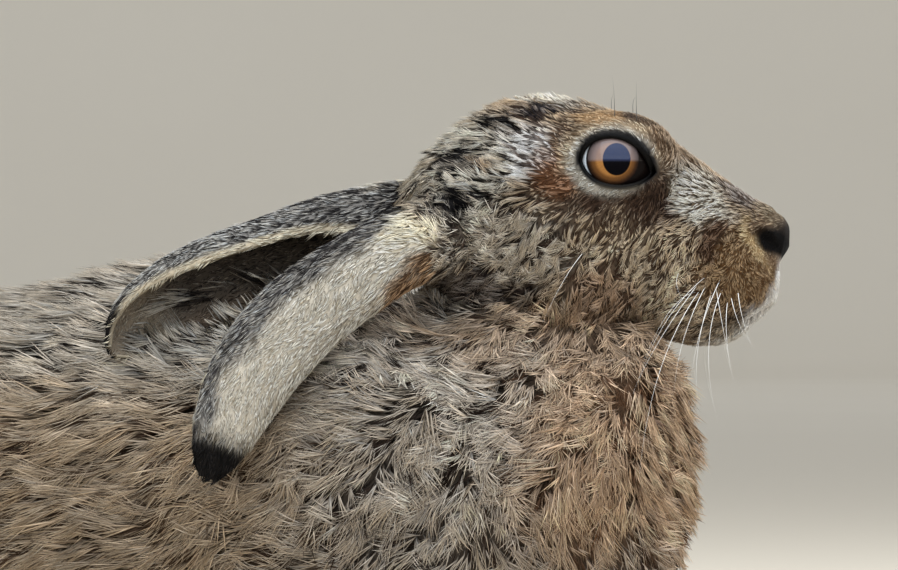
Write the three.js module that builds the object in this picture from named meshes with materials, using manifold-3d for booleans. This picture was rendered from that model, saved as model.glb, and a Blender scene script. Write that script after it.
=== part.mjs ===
// A brown hare at life size, crouched low with its head up and its ears laid back.
// Millimetres. +X points from rump to nose, +Y to the hare's left, +Z up. The hare rests on the plane Z = 0.
// Every solid reaches out to the tips of the coat. Flesh is shaped whole and then parted by thin cuts.
import * as THREE from "three";
import { mergeVertices } from "three/addons/utils/BufferGeometryUtils.js";
import Module from "manifold-3d";

const wasm = await Module();
wasm.setup();

// Driving sizes
const GAP = 0.32; // the thin cut between two nodes
const HEAD_BLEND = 1.6; // how softly neighbouring masses of flesh run into each other
const TRUNK_BLEND = 4.5;
const LOWER_ROUNDNESS = 2.15; // 2 is an ellipse, more is squarer
const BODY_TURN = 20; // degrees that the body is turned away to the left behind the head
const NECK_PIVOT = { x: -90, y: 0 };
const EYE_RADIUS = 11.3;
const EYE_CENTRE = { x: -51.2, y: 18, z: 161.4 };
const LID_THICKNESS = 1.5;
const MOUTH_GROOVE = 0.9;
const EAR_THICKNESS = 3.2;
const CLAW_LENGTH = 9;
const CLAW_RADIUS = 1.5;
const RIGHT = -1;
const LEFT = 1;

// Solid geometry helpers

// A closed geometry as a solid that can be cut and joined.
function solidOf(geometry) {
  const bare = geometry.clone();
  bare.deleteAttribute("normal");
  bare.deleteAttribute("uv");
  const merged = mergeVertices(bare, 1e-4);
  return new wasm.Manifold(
    new wasm.Mesh({
      numProp: 3,
      vertProperties: merged.getAttribute("position").array,
      triVerts: new Uint32Array(merged.index.array),
    }),
  );
}

// The largest closed surface of a solid, as a geometry.
function geometryOf(solid) {
  const bodies = solid.decompose().sort((a, b) => b.volume() - a.volume());
  const mesh = bodies[0].getMesh();
  const flat = new THREE.BufferGeometry();
  flat.setAttribute("position", new THREE.BufferAttribute(mesh.vertProperties, mesh.numProp));
  flat.setIndex(new THREE.BufferAttribute(mesh.triVerts, 1));
  flat.computeVertexNormals();
  return flat;
}

// A closed skin over rings of points, drawn to a point at both ends.
function ringedSolid(rings, firstPole, lastPole) {
  const sides = rings[0].length;
  const points = [firstPole, ...rings.flat(), lastPole];
  const faces = [];
  const at = (ring, side) => 1 + ring * sides + (side % sides);
  for (let side = 0; side < sides; side++) {
    faces.push(0, at(0, side), at(0, side + 1));
    for (let ring = 0; ring + 1 < rings.length; ring++) {
      faces.push(at(ring, side), at(ring + 1, side), at(ring + 1, side + 1));
      faces.push(at(ring, side), at(ring + 1, side + 1), at(ring, side + 1));
    }
    faces.push(at(rings.length - 1, side + 1), at(rings.length - 1, side), points.length - 1);
  }
  const made = new THREE.BufferGeometry().setFromPoints(points);
  made.setIndex(faces);
  const solid = solidOf(made);
  if (solid.volume() > 0) return solid;
  for (let i = 0; i < faces.length; i += 3) [faces[i + 1], faces[i + 2]] = [faces[i + 2], faces[i + 1]];
  made.setIndex(faces);
  return solidOf(made);
}

// A smooth curve through named stations: returns the value of one of their fields at any x.
function smoothField(stations, field) {
  const slope = (i) => {
    const before = stations[Math.max(i - 1, 0)];
    const after = stations[Math.min(i + 1, stations.length - 1)];
    return (after[field] - before[field]) / (after.x - before.x);
  };
  return (x) => {
    let i = stations.findIndex((station) => station.x <= x);
    i = Math.min(Math.max(i, 1), stations.length - 1);
    const a = stations[i - 1];
    const b = stations[i];
    const span = b.x - a.x;
    const t = THREE.MathUtils.clamp((x - a.x) / span, 0, 1);
    const ease = t * t * (3 - 2 * t);
    const pull = t * (1 - t) * span;
    return a[field] * (1 - ease) + b[field] * ease + pull * (slope(i - 1) * (1 - t) - slope(i) * t);
  };
}

// The signed distance, roughly, from a body whose upright cross-sections are rounded ovals.
function sectionedBody(stations) {
  const top = smoothField(stations, "top");
  const bottom = smoothField(stations, "bottom");
  const widest = smoothField(stations, "widest");
  const half = smoothField(stations, "half");
  const upper = smoothField(stations, "roundness");
  const front = stations[0].x;
  const back = stations[stations.length - 1].x;
  return (x, y, z) => {
    const middle = widest(x);
    const tall = z > middle ? top(x) - middle : middle - bottom(x);
    const wide = half(x);
    const roundness = z > middle ? upper(x) : LOWER_ROUNDNESS;
    const aside = Math.abs(y / wide) ** roundness;
    const upward = Math.abs((z - middle) / tall) ** roundness;
    const away = (aside + upward) ** (1 / roundness);
    return Math.max((away - 1) * Math.min(wide, tall), x - front, back - x);
  };
}

// The signed distance, roughly, from an ellipsoid that leans by pitch about the Y axis.
function mass({ x, y, z, long, wide, tall, pitch = 0 }) {
  const c = Math.cos(THREE.MathUtils.degToRad(pitch));
  const s = Math.sin(THREE.MathUtils.degToRad(pitch));
  return (px, py, pz) => {
    const u = ((px - x) * c + (pz - z) * s) / long;
    const v = (py - y) / wide;
    const w = ((pz - z) * c - (px - x) * s) / tall;
    const size = Math.hypot(u, v, w);
    if (size < 1e-6) return -Math.min(long, wide, tall);
    return (size * (size - 1)) / Math.hypot(u / long, v / wide, w / tall);
  };
}

// Two masses, one on each side of the body.
const pair = (spec) => [RIGHT, LEFT].map((side) => mass({ ...spec, y: side * spec.y }));

// One flowing surface round several masses.
const flowing = (masses, softness) => (x, y, z) =>
  -softness * Math.log(masses.reduce((sum, distance) => sum + Math.exp(-distance(x, y, z) / softness), 0));

// The solid inside a flowing surface, as rings at the given x round an axis at height axisAt(x).
function flowingSolid(surface, positions, sides, axisAt, reach, grow = 0) {
  const edge = (x, angle) => {
    const y = Math.cos(angle);
    const z = Math.sin(angle);
    let outside = reach;
    const probe = (r) => surface(x, y * r, axisAt(x) + z * r) - grow;
    while (outside > 0 && probe(outside) > 0) outside -= 1.5;
    let inside = Math.max(outside, 0);
    outside += 1.5;
    for (let pass = 0; pass < 14; pass++) {
      const middle = (inside + outside) / 2;
      if (probe(middle) > 0) outside = middle;
      else inside = middle;
    }
    return new THREE.Vector3(x, y * inside, axisAt(x) + z * inside);
  };
  const rings = positions.map((x) =>
    Array.from({ length: sides }, (_, side) => edge(x, (side / sides) * 2 * Math.PI)),
  );
  const pole = (x, way) => new THREE.Vector3(x + way, 0, axisAt(x));
  const last = positions[positions.length - 1];
  return ringedSolid(rings, pole(positions[0], 0.6 + grow), pole(last, -0.6 - grow));
}

// A rounded limb along a smooth path. Each station gives a point and its half width and half height.
function limb(stations, { steps = 12, sides = 12, grow = 0, level = new THREE.Vector3(0, 0, 1) } = {}) {
  const places = stations.map((station) => new THREE.Vector3(...station.at));
  const path = new THREE.CatmullRomCurve3(places, false, "centripetal");
  const last = stations.length - 1;
  const size = (t, field) => {
    const i = Math.min(Math.floor(t * last), last - 1);
    return THREE.MathUtils.lerp(stations[i][field], stations[i + 1][field], t * last - i) + grow;
  };
  const rings = [];
  for (let step = 1; step < steps; step++) {
    const t = (1 - Math.cos((step / steps) * Math.PI)) / 2;
    const centre = path.getPoint(t);
    const along = path.getTangent(t);
    const across = new THREE.Vector3().crossVectors(level, along).normalize();
    const up = new THREE.Vector3().crossVectors(along, across);
    const closing = Math.sqrt(Math.min(1, Math.sin((step / steps) * Math.PI) * 1.9));
    rings.push(
      Array.from({ length: sides }, (_, side) => {
        const angle = (side / sides) * 2 * Math.PI;
        return centre
          .clone()
          .addScaledVector(across, Math.cos(angle) * size(t, "wide") * closing)
          .addScaledVector(up, Math.sin(angle) * size(t, "tall") * closing);
      }),
    );
  }
  const tip = (t, way) => path.getPoint(t).addScaledVector(path.getTangent(t), way * grow);
  return ringedSolid(rings, tip(0, -1), tip(1, 1));
}

// An ellipsoid as a solid.
function ellipsoid({ x, y, z, long, wide, tall, pitch = 0, grow = 0 }, columns = 20, rows = 14) {
  const made = new THREE.SphereGeometry(1, columns, rows);
  made.scale(long + grow, tall + grow, wide + grow);
  made.rotateX(Math.PI / 2);
  made.rotateY(THREE.MathUtils.degToRad(-pitch));
  made.translate(x, y, z);
  return solidOf(made);
}

// A block between two corners, used to part and to flatten.
function block(low, high) {
  const made = new THREE.BoxGeometry(high[0] - low[0], high[1] - low[1], high[2] - low[2]);
  made.translate((low[0] + high[0]) / 2, (low[1] + high[1]) / 2, (low[2] + high[2]) / 2);
  return solidOf(made);
}

// A half space as a large block. Its lower face passes through a point and faces along a direction in the
// XZ plane.
function beyond(x, z, degrees, shift = 0) {
  const size = 900;
  const made = new THREE.BoxGeometry(size, size, size);
  made.translate(size / 2 + shift, 0, 0);
  made.rotateY(THREE.MathUtils.degToRad(-degrees));
  made.translate(x, 0, z);
  return solidOf(made);
}

// A round cord along a path, used to cut the line of the mouth.
function groove(points, radius) {
  const path = new THREE.CatmullRomCurve3(points, false, "centripetal");
  const round = new THREE.Shape().absarc(0, 0, radius, 0, 2 * Math.PI);
  return solidOf(new THREE.ExtrudeGeometry(round, { steps: 15, curveSegments: 2, extrudePath: path }));
}

const floorBlock = block([-700, -300, -60], [200, 300, 0]);

// The head: skull, muzzle, lip pads, chin, cheeks and brows run together

const headStations = [
  { x: -3.4, top: 142, bottom: 122, widest: 131, half: 6 },
  { x: -5, top: 147, bottom: 118.5, widest: 130, half: 9 },
  { x: -9, top: 150, bottom: 115, widest: 129, half: 12 },
  { x: -15, top: 154.4, bottom: 112.5, widest: 129, half: 14.5 },
  { x: -22, top: 159.4, bottom: 110.5, widest: 130, half: 16.8 },
  { x: -31, top: 166.4, bottom: 108.6, widest: 132, half: 19.2 },
  { x: -40, top: 172.2, bottom: 108, widest: 136, half: 22 },
  { x: -51, top: 177.2, bottom: 108, widest: 141, half: 25.4 },
  { x: -62, top: 180, bottom: 109, widest: 144, half: 27.8 },
  { x: -73, top: 180.8, bottom: 111, widest: 146, half: 29.4 },
  { x: -84, top: 178, bottom: 114, widest: 146, half: 29.8 },
  { x: -95, top: 171.2, bottom: 117, widest: 144, half: 28.4 },
  { x: -104, top: 165.4, bottom: 122, widest: 143, half: 25.4 },
  { x: -111, top: 156.5, bottom: 128, widest: 142, half: 20 },
  { x: -117, top: 147, bottom: 137, widest: 142, half: 9 },
].map((station) => ({ ...station, roundness: 2.15 }));
const headMasses = [
  sectionedBody(headStations),
  mass({ x: -7, y: 0, z: 139, long: 7.2, wide: 8.6, tall: 7.4, pitch: -18 }),
  ...pair({ x: -15.5, y: 8.2, z: 125, long: 10.8, wide: 9, tall: 11.4, pitch: -12 }),
  mass({ x: -24, y: 0, z: 114, long: 12, wide: 10, tall: 6.8 }),
  ...pair({ x: -62, y: 17, z: 132, long: 21, wide: 13, tall: 21, pitch: 12 }),
  ...pair({ x: -51.4, y: 15, z: 160.8, long: 19.5, wide: 14.6, tall: 15.2 }),
];
const headSurface = flowing(headMasses, HEAD_BLEND);
const headRings = [
  -0.4, -1.6, -3.4, -5.2, -7.5, -11, -15, -20, -25, -30, -36, -42, -48, -54, -60, -67, -74, -81, -88, -95,
  -102, -108, -113, -115.8,
];
const headAxis = (x) => THREE.MathUtils.lerp(139, 144, THREE.MathUtils.smoothstep(-x, 6, 60));
const headWhole = (grow = 0) => flowingSolid(headSurface, headRings, 32, headAxis, 62, grow);

// The place on the side of the head at a given x and z, or on its front where the side has closed.
function onFace(side, x, z) {
  for (let y = 40; y > 0; y -= 0.1) if (headSurface(x, y, z) < 0) return new THREE.Vector3(x, side * y, z);
  let front = x;
  while (headSurface(front, 0, z) > 0) front -= 0.1;
  return new THREE.Vector3(front, 0, z);
}

// The almond of the open eye, as a prism along Y. Spread widens it evenly.
function almondPrism(side, spread) {
  const rear = [EYE_CENTRE.x - 10.2 - spread, EYE_CENTRE.z - 0.2];
  const front = [EYE_CENTRE.x + 10.4 + spread, EYE_CENTRE.z - 3.4];
  const crown = EYE_CENTRE.z + 9.2 + spread * 1.25;
  const floor = EYE_CENTRE.z - 9.8 - spread * 1.25;
  const lean = 6.6 + spread * 0.5;
  const outline = new THREE.Shape();
  outline.moveTo(...rear);
  outline.bezierCurveTo(rear[0] + 1.2, crown, front[0] - lean, crown + 1.4, ...front);
  outline.bezierCurveTo(front[0] - lean, floor, rear[0] + lean * 0.6, floor, ...rear);
  const made = new THREE.ExtrudeGeometry(outline, { depth: 40, bevelEnabled: false, curveSegments: 8 });
  made.rotateX(Math.PI / 2);
  made.translate(0, side > 0 ? 40 + EYE_CENTRE.y : -EYE_CENTRE.y, 0);
  return solidOf(made);
}

const eyeBall = (side, grow = 0) => {
  const radius = EYE_RADIUS + grow;
  const ball = { ...EYE_CENTRE, y: side * EYE_CENTRE.y, long: radius, wide: radius, tall: radius };
  return ellipsoid(ball, 18, 12);
};
const LID_SPREAD = 1.7;
const lidRing = (side) =>
  eyeBall(side, GAP + LID_THICKNESS)
    .subtract(eyeBall(side, GAP))
    .intersect(almondPrism(side, LID_SPREAD))
    .subtract(almondPrism(side, 0));

// The line of the mouth, from corner to corner round the front, and the cleft from the nose down to it
const mouthLine = [
  { x: -31, z: 114.6 },
  { x: -25, z: 113.4 },
  { x: -19, z: 113.6 },
  { x: -13, z: 115.4 },
  { x: -8.6, z: 118 },
];
const mouthPath = [
  ...mouthLine.map(({ x, z }) => onFace(RIGHT, x, z)),
  onFace(RIGHT, -2, 119.2),
  ...mouthLine.map(({ x, z }) => onFace(LEFT, x, z)).reverse(),
];
const cleftPath = [118.5, 122, 126, 130, 133].map((z) => onFace(RIGHT, 0, z));

const nostril = (side) =>
  ellipsoid({ x: -7, y: side * 8.8, z: 137.6, long: 4.4, wide: 3.2, tall: 2, pitch: -48 }, 8, 6);
const noseRegion = (grow = 0) =>
  ellipsoid({ x: -5.2, y: 0, z: 138, long: 8.8, wide: 13, tall: 5.6, pitch: -46, grow }, 14, 8);

let headSolid = headWhole()
  .subtract(groove(mouthPath, MOUTH_GROOVE))
  .subtract(groove(cleftPath, MOUTH_GROOVE * 0.8));
const noseSolid = headSolid.intersect(noseRegion()).subtract(nostril(RIGHT)).subtract(nostril(LEFT));
headSolid = headSolid.subtract(noseRegion(GAP));
for (const side of [RIGHT, LEFT]) {
  headSolid = headSolid.subtract(eyeBall(side, GAP)).subtract(almondPrism(side, LID_SPREAD + GAP));
}

// The trunk: chest, back, belly, haunches and shoulders run together

const trunkStations = [
  { x: -30, top: 107, bottom: 50, widest: 75, half: 13, roundness: 2.2 },
  { x: -33, top: 114, bottom: 36, widest: 72, half: 23, roundness: 2.2 },
  { x: -40, top: 118, bottom: 25, widest: 68, half: 32, roundness: 2.1 },
  { x: -56, top: 123, bottom: 15, widest: 64, half: 40, roundness: 2 },
  { x: -76, top: 128, bottom: 10, widest: 62, half: 45.5, roundness: 1.95 },
  { x: -100, top: 128, bottom: 8.5, widest: 61, half: 50, roundness: 1.85 },
  { x: -126, top: 128.5, bottom: 8, widest: 60, half: 53, roundness: 1.78 },
  { x: -152, top: 134.5, bottom: 7, widest: 59, half: 56, roundness: 1.75 },
  { x: -177, top: 139.4, bottom: 6, widest: 59, half: 59, roundness: 1.78 },
  { x: -192, top: 136.8, bottom: 6, widest: 59, half: 60, roundness: 1.82 },
  { x: -208, top: 132.6, bottom: 6, widest: 59, half: 61, roundness: 1.86 },
  { x: -223, top: 127.6, bottom: 6, widest: 59, half: 62, roundness: 1.9 },
  { x: -240, top: 122.6, bottom: 6, widest: 60, half: 63, roundness: 1.95 },
  { x: -258, top: 121.6, bottom: 6, widest: 61, half: 64, roundness: 2 },
  { x: -280, top: 127, bottom: 6, widest: 64, half: 65, roundness: 2.05 },
  { x: -308, top: 138, bottom: 7, widest: 68, half: 65, roundness: 2.1 },
  { x: -338, top: 145.6, bottom: 9, widest: 70, half: 64, roundness: 2.12 },
  { x: -366, top: 143.6, bottom: 11, widest: 70, half: 60, roundness: 2.12 },
  { x: -392, top: 133, bottom: 16, widest: 68, half: 52, roundness: 2.1 },
  { x: -414, top: 115, bottom: 24, widest: 65, half: 41, roundness: 2.05 },
  { x: -429, top: 94, bottom: 38, widest: 64, half: 26, roundness: 2 },
  { x: -436, top: 76, bottom: 54, widest: 64, half: 11, roundness: 2 },
];
const trunkMasses = [
  sectionedBody(trunkStations),
  ...pair({ x: -112, y: 36, z: 62, long: 46, wide: 19, tall: 44, pitch: -30 }),
  ...pair({ x: -330, y: 45, z: 72, long: 74, wide: 33, tall: 60, pitch: -10 }),
  ...pair({ x: -276, y: 55, z: 46, long: 34, wide: 21, tall: 36, pitch: 24 }),
];
const trunkSurface = flowing(trunkMasses, TRUNK_BLEND);
const trunkRings = [
  -30.2, -31.5, -34, -39, -48, -61, -76, -92, -108, -124, -141, -158, -174, -190, -206, -222, -240, -258,
  -276, -296, -316, -336, -356, -375, -392, -407, -420, -430, -435,
];
const trunkAxis = () => 70;
const trunkWhole = flowingSolid(trunkSurface, trunkRings, 28, trunkAxis, 110);

// The legs

const foreArm = (side, grow = 0) =>
  limb(
    [
      { at: [-126, side * 38, 44], wide: 16, tall: 19 },
      { at: [-104, side * 33, 27], wide: 15.4, tall: 17 },
      { at: [-74, side * 25, 16.5], wide: 12.6, tall: 12.8 },
      { at: [-50, side * 20.5, 12], wide: 11, tall: 10.5 },
    ],
    { grow },
  );
const forePaw = (side, grow = 0) =>
  limb(
    [
      { at: [-60, side * 22.4, 13], wide: 10.6, tall: 11 },
      { at: [-38, side * 19, 10.4], wide: 11.4, tall: 10.2 },
      { at: [-10, side * 17.4, 7.4], wide: 11, tall: 8.2 },
    ],
    { steps: 9, grow },
  );
const hindFoot = (side, grow = 0) =>
  limb(
    [
      { at: [-410, side * 43, 21], wide: 11, tall: 13 },
      { at: [-378, side * 49, 15], wide: 13, tall: 14 },
      { at: [-326, side * 57, 11.4], wide: 14.4, tall: 11.6 },
      { at: [-278, side * 63.4, 9], wide: 15.6, tall: 9.8 },
      { at: [-254, side * 65.6, 6.6], wide: 13.4, tall: 7.2 },
    ],
    { steps: 13, grow },
  );

// Four toes and their claws at the end of a foot, spread from the middle line of the foot.
function toes({ x, y, z, spread, radius, reach, side }) {
  const made = [];
  for (const [i, place] of [-1.5, -0.5, 0.5, 1.5].entries()) {
    const outer = Math.abs(place) > 1;
    const toeX = x - (outer ? reach * 0.3 : 0);
    const toeY = side * y + place * spread;
    const size = { long: reach, wide: radius, tall: radius * 0.94 };
    made.push(ellipsoid({ x: toeX, y: toeY, z: z - (outer ? 0.6 : 0), ...size, pitch: -8 }, 8, 5));
    const claw = new THREE.ConeGeometry(CLAW_RADIUS, CLAW_LENGTH, 5);
    claw.rotateZ(-Math.PI / 2);
    claw.rotateY(THREE.MathUtils.degToRad(14));
    claw.rotateZ(THREE.MathUtils.degToRad(-12));
    claw.rotateZ(THREE.MathUtils.degToRad(i % 3 ? 2 : 0));
    claw.translate(toeX + reach * 0.9, toeY, z - 1);
    made.push(solidOf(claw));
  }
  return made;
}
const foreToes = (side) => toes({ x: -16, y: 17.8, z: 6.2, spread: 5.4, radius: 4.4, reach: 12, side });
const hindToes = (side) => toes({ x: -262, y: 65.2, z: 6, spread: 7, radius: 5.2, reach: 14, side });

const haunchRegion = (side, grow = 0) =>
  ellipsoid({ x: -326, y: side * 78, z: 62, long: 84, wide: 46, tall: 64, pitch: -10, grow }, 20, 12);

// The tail, black above and white below, laid down behind the rump

const tail = (grow = 0) =>
  limb(
    [
      { at: [-416, 0, 62], wide: 14, tall: 14 },
      { at: [-436, 0, 51], wide: 17, tall: 15 },
      { at: [-455, 0, 38], wide: 17.4, tall: 13.6 },
      { at: [-474, 0, 25], wide: 9, tall: 8 },
    ],
    { grow, sides: 14 },
  );

// The ears: long cups of curled sheet, rolled into a tube at the root

// An ear grows along the middle line of its trough. Mouths is the way that the trough opens along the ear,
// and broad is more than 1 for an ear that is spread wider.
function ear({ middle, mouths, broad = 1 }) {
  const path = new THREE.CatmullRomCurve3(middle.map((p) => new THREE.Vector3(...p)), false, "centripetal");
  const opening = new THREE.CatmullRomCurve3(mouths.map((m) => new THREE.Vector3(...m).normalize()));
  const radius = smoothField(earShape, "radius");
  const curl = smoothField(earShape, "curl");
  const thick = smoothField(earShape, "thick");
  const columns = 10;
  const rowOf = (t, offset, wider = 0) => {
    const centre = path.getPoint(t);
    const along = path.getTangent(t);
    const open = opening.getPoint(t);
    open.addScaledVector(along, -open.dot(along)).normalize();
    const across = new THREE.Vector3().crossVectors(along, open);
    return Array.from({ length: columns + 1 }, (_, column) => {
      const share = column / columns - 0.5;
      const turn = share * THREE.MathUtils.degToRad(curl(t) + wider);
      const rim = 1 - 0.5 * Math.abs(share * 2) ** 6;
      const distance = radius(t) * broad + offset * rim;
      return centre
        .clone()
        .addScaledVector(open, -Math.cos(turn) * distance)
        .addScaledVector(across, Math.sin(turn) * distance);
    });
  };
  const steps = 16;
  const along = Array.from({ length: steps + 1 }, (_, step) => Math.sin(((step / steps) * Math.PI) / 2));
  const wall = (t) => 0.5 * EAR_THICKNESS * thick(t);
  const outer = along.map((t) => rowOf(t, wall(t)));
  const inner = along.map((t) => rowOf(t, -wall(t)));
  const round = along.map((t) => rowOf(t, wall(t) + GAP * 1.6, 22));
  return { cup: sheetSolid(outer, inner), filled: ringedSolid(round, path.getPoint(0), path.getPoint(1)) };
}
const earShape = [
  { x: 1, radius: 1.2, curl: 140, thick: 0.5 },
  { x: 0.96, radius: 4.6, curl: 160, thick: 0.62 },
  { x: 0.88, radius: 7.6, curl: 180, thick: 0.78 },
  { x: 0.72, radius: 9.9, curl: 200, thick: 0.95 },
  { x: 0.5, radius: 10.4, curl: 212, thick: 1 },
  { x: 0.3, radius: 9.8, curl: 235, thick: 1.05 },
  { x: 0.15, radius: 8.8, curl: 280, thick: 1.15 },
  { x: 0, radius: 7.6, curl: 320, thick: 1.25 },
];

// A closed solid between two grids of points that face each other.
function sheetSolid(outer, inner) {
  const rows = outer.length;
  const columns = outer[0].length;
  const points = [...outer.flat(), ...inner.flat()];
  const at = (layer, row, column) => layer * rows * columns + row * columns + column;
  const faces = [];
  const quad = (a, b, c, d) => faces.push(a, b, c, a, c, d);
  for (let row = 0; row + 1 < rows; row++) {
    for (let column = 0; column + 1 < columns; column++) {
      quad(at(0, row, column), at(0, row + 1, column), at(0, row + 1, column + 1), at(0, row, column + 1));
      const [a, b] = [at(1, row, column), at(1, row, column + 1)];
      const [c, d] = [at(1, row + 1, column + 1), at(1, row + 1, column)];
      faces.push(a, c, d, a, b, c);
    }
    quad(at(0, row, 0), at(1, row, 0), at(1, row + 1, 0), at(0, row + 1, 0));
    const end = columns - 1;
    quad(at(0, row, end), at(0, row + 1, end), at(1, row + 1, end), at(1, row, end));
  }
  for (let column = 0; column + 1 < columns; column++) {
    quad(at(0, 0, column), at(0, 0, column + 1), at(1, 0, column + 1), at(1, 0, column));
    const end = rows - 1;
    quad(at(0, end, column), at(1, end, column), at(1, end, column + 1), at(0, end, column + 1));
  }
  const made = new THREE.BufferGeometry().setFromPoints(points);
  made.setIndex(faces);
  const solid = solidOf(made);
  if (solid.volume() > 0) return solid;
  for (let i = 0; i < faces.length; i += 3) [faces[i + 1], faces[i + 2]] = [faces[i + 2], faces[i + 1]];
  made.setIndex(faces);
  return solidOf(made);
}

const rightEar = ear({
  middle: [
    [-99, -19, 141.2],
    [-113.5, -23.5, 135],
    [-127.5, -27.5, 126.8],
    [-141, -30.5, 117],
    [-152.5, -32.8, 104.6],
    [-161, -36, 90],
    [-169, -41, 69.5],
  ],
  mouths: [
    [0.1, 0.6, -0.8],
    [0.05, 0.9, -0.3],
    [0, 1, -0.1],
    [0, 1, 0],
  ],
});
const leftEar = ear({
  broad: 1.24,
  middle: [
    [-98, 18, 144.2],
    [-114, 17, 141.6],
    [-131, 12, 137.4],
    [-149, 3.5, 130.4],
    [-168, -5, 123.6],
    [-183, -9.6, 116.4],
    [-196.5, -12, 105.5],
  ],
  mouths: [
    [0.1, -0.4, -0.9],
    [0.05, -0.45, -0.89],
    [0, -0.76, -0.65],
    [0, -0.74, -0.67],
    [0, -0.8, -0.6],
  ],
});

// Parting the flesh into its nodes

const cut = (solid, ...tools) => tools.reduce((left, tool) => left.subtract(tool), solid);
const joined = (solids) => solids.reduce((left, right) => left.add(right));

// The body is shaped along X and then turned about the neck, behind the head.
const bodyTurn = new THREE.Matrix4()
  .makeTranslation(NECK_PIVOT.x, NECK_PIVOT.y, 0)
  .multiply(new THREE.Matrix4().makeRotationZ(THREE.MathUtils.degToRad(-BODY_TURN)))
  .multiply(new THREE.Matrix4().makeTranslation(-NECK_PIVOT.x, -NECK_PIVOT.y, 0));
const moved = (solid, matrix) => solidOf(geometryOf(solid).applyMatrix4(matrix));
const turned = (solid) => moved(solid, bodyTurn);
const unturned = (solid) => moved(solid, bodyTurn.clone().invert());

const headGrown = headWhole(GAP);
const headParts = { head: headSolid, nose: noseSolid };
const bodyParts = { tail: cut(tail(), floorBlock) };
const earRooms = [rightEar, leftEar].map((made) => unturned(made.filled));
let trunk = cut(trunkWhole, unturned(headGrown), ...earRooms, tail(GAP));
for (const [name, side, earSolid] of [
  ["right", RIGHT, rightEar.cup],
  ["left", LEFT, leftEar.cup],
]) {
  headParts[`ear_${name}`] = cut(earSolid, headGrown);
  headParts[`eye_${name}`] = eyeBall(side);
  headParts[`eyelids_${name}`] = lidRing(side);
  bodyParts[`forepaw_${name}`] = cut(joined([forePaw(side), ...foreToes(side)]), floorBlock);
  bodyParts[`foreleg_${name}`] = cut(foreArm(side), floorBlock, forePaw(side, GAP));
  bodyParts[`hind_foot_${name}`] = cut(joined([hindFoot(side), ...hindToes(side)]), floorBlock);
  trunk = cut(trunk, foreArm(side, GAP), forePaw(side, GAP), hindFoot(side, GAP));
  trunk = cut(trunk, ...foreToes(side), ...hindToes(side));
  bodyParts[`haunch_${name}`] = trunk.intersect(haunchRegion(side));
  trunk = cut(trunk, haunchRegion(side, GAP));
}
const NECK_CUT = { x: -26, z: 60, degrees: 62 };
const CHEST_BACK = -214;
const LOIN_BACK = -300;
const aboveNeckCut = (shift) => beyond(NECK_CUT.x, NECK_CUT.z, NECK_CUT.degrees, shift);
const behind = (x) => block([-700, -300, -50], [x, 300, 300]);
const aheadOf = (x) => block([x, -300, -50], [100, 300, 300]);
bodyParts.neck = trunk.intersect(aboveNeckCut(0));
bodyParts.chest = cut(trunk.intersect(aheadOf(CHEST_BACK)), aboveNeckCut(-GAP));
bodyParts.loins = cut(trunk.intersect(behind(CHEST_BACK - GAP)), behind(LOIN_BACK));
bodyParts.rump = trunk.intersect(behind(LOIN_BACK - GAP));

// Materials and the finished group

const coat = (color, roughness = 0.9) => new THREE.MeshStandardMaterial({ color, roughness, metalness: 0 });
const materials = {
  coat: coat(0x8a7355),
  ear: coat(0x8f8470),
  tail: coat(0x3a332c),
  eye: coat(0x7a4a1c, 0.12),
  eyelids: coat(0x1c1714, 0.5),
  nose: coat(0x2a221c, 0.6),
};
const materialOf = (name) => materials[name.split("_")[0]] ?? materials.coat;

const hare = new THREE.Group();
const turnedParts = Object.entries(bodyParts).map(([name, solid]) => [name, turned(solid)]);
for (const [name, solid] of [...Object.entries(headParts), ...turnedParts]) {
  const mesh = new THREE.Mesh(geometryOf(solid), materialOf(name));
  mesh.name = name;
  hare.add(mesh);
}
const bounds = new THREE.Box3().setFromObject(hare);
hare.position.set(-(bounds.min.x + bounds.max.x) / 2, -(bounds.min.y + bounds.max.y) / 2, -bounds.min.z);

export default hare;
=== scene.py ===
import math
from functools import partial

import bmesh
import bpy
import numpy as np
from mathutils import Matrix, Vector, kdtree


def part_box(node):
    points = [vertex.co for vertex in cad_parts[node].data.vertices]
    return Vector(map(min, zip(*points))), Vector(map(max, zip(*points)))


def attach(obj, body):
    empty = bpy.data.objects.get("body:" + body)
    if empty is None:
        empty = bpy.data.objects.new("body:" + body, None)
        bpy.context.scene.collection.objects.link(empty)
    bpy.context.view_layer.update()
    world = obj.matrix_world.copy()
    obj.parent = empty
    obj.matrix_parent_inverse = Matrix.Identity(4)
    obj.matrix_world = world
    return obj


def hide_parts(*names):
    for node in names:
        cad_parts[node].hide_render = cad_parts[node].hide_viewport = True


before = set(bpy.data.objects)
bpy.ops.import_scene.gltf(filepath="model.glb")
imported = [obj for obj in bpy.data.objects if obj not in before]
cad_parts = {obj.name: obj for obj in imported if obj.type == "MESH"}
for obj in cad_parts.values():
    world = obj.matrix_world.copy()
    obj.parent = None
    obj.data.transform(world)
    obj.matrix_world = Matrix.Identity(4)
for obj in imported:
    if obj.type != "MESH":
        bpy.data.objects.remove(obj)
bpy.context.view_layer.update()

# The studio
# A pale floor that sweeps up into a wall all round, one broad soft light overhead, a soft window in front of the
# hare and the sky's own even light. The floor is painted darker towards the middle, as painted shade. None of it
# belongs to the hare.

MM = 0.001
EYE_AT = np.array([-51.2, 18.0, 161.4])

# The hare is drawn in millimetres from the tip of its nose. SHIFT is where that point lies in the frame.
eye_low, eye_high = (np.array(corner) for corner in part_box("eye_right"))
SHIFT = (eye_low + eye_high) / 2 - EYE_AT * (1, -1, 1) * MM


def to_frame(points):
    """Drawn millimetres as metres in the frame."""
    return np.asarray(points, float) * MM + SHIFT


def soften(form):
    """Shades a form smoothly."""
    for face in form.faces:
        face.smooth = True


def new_mesh(name, form):
    mesh = bpy.data.meshes.new(name)
    form.to_mesh(mesh)
    form.free()
    return mesh


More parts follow.
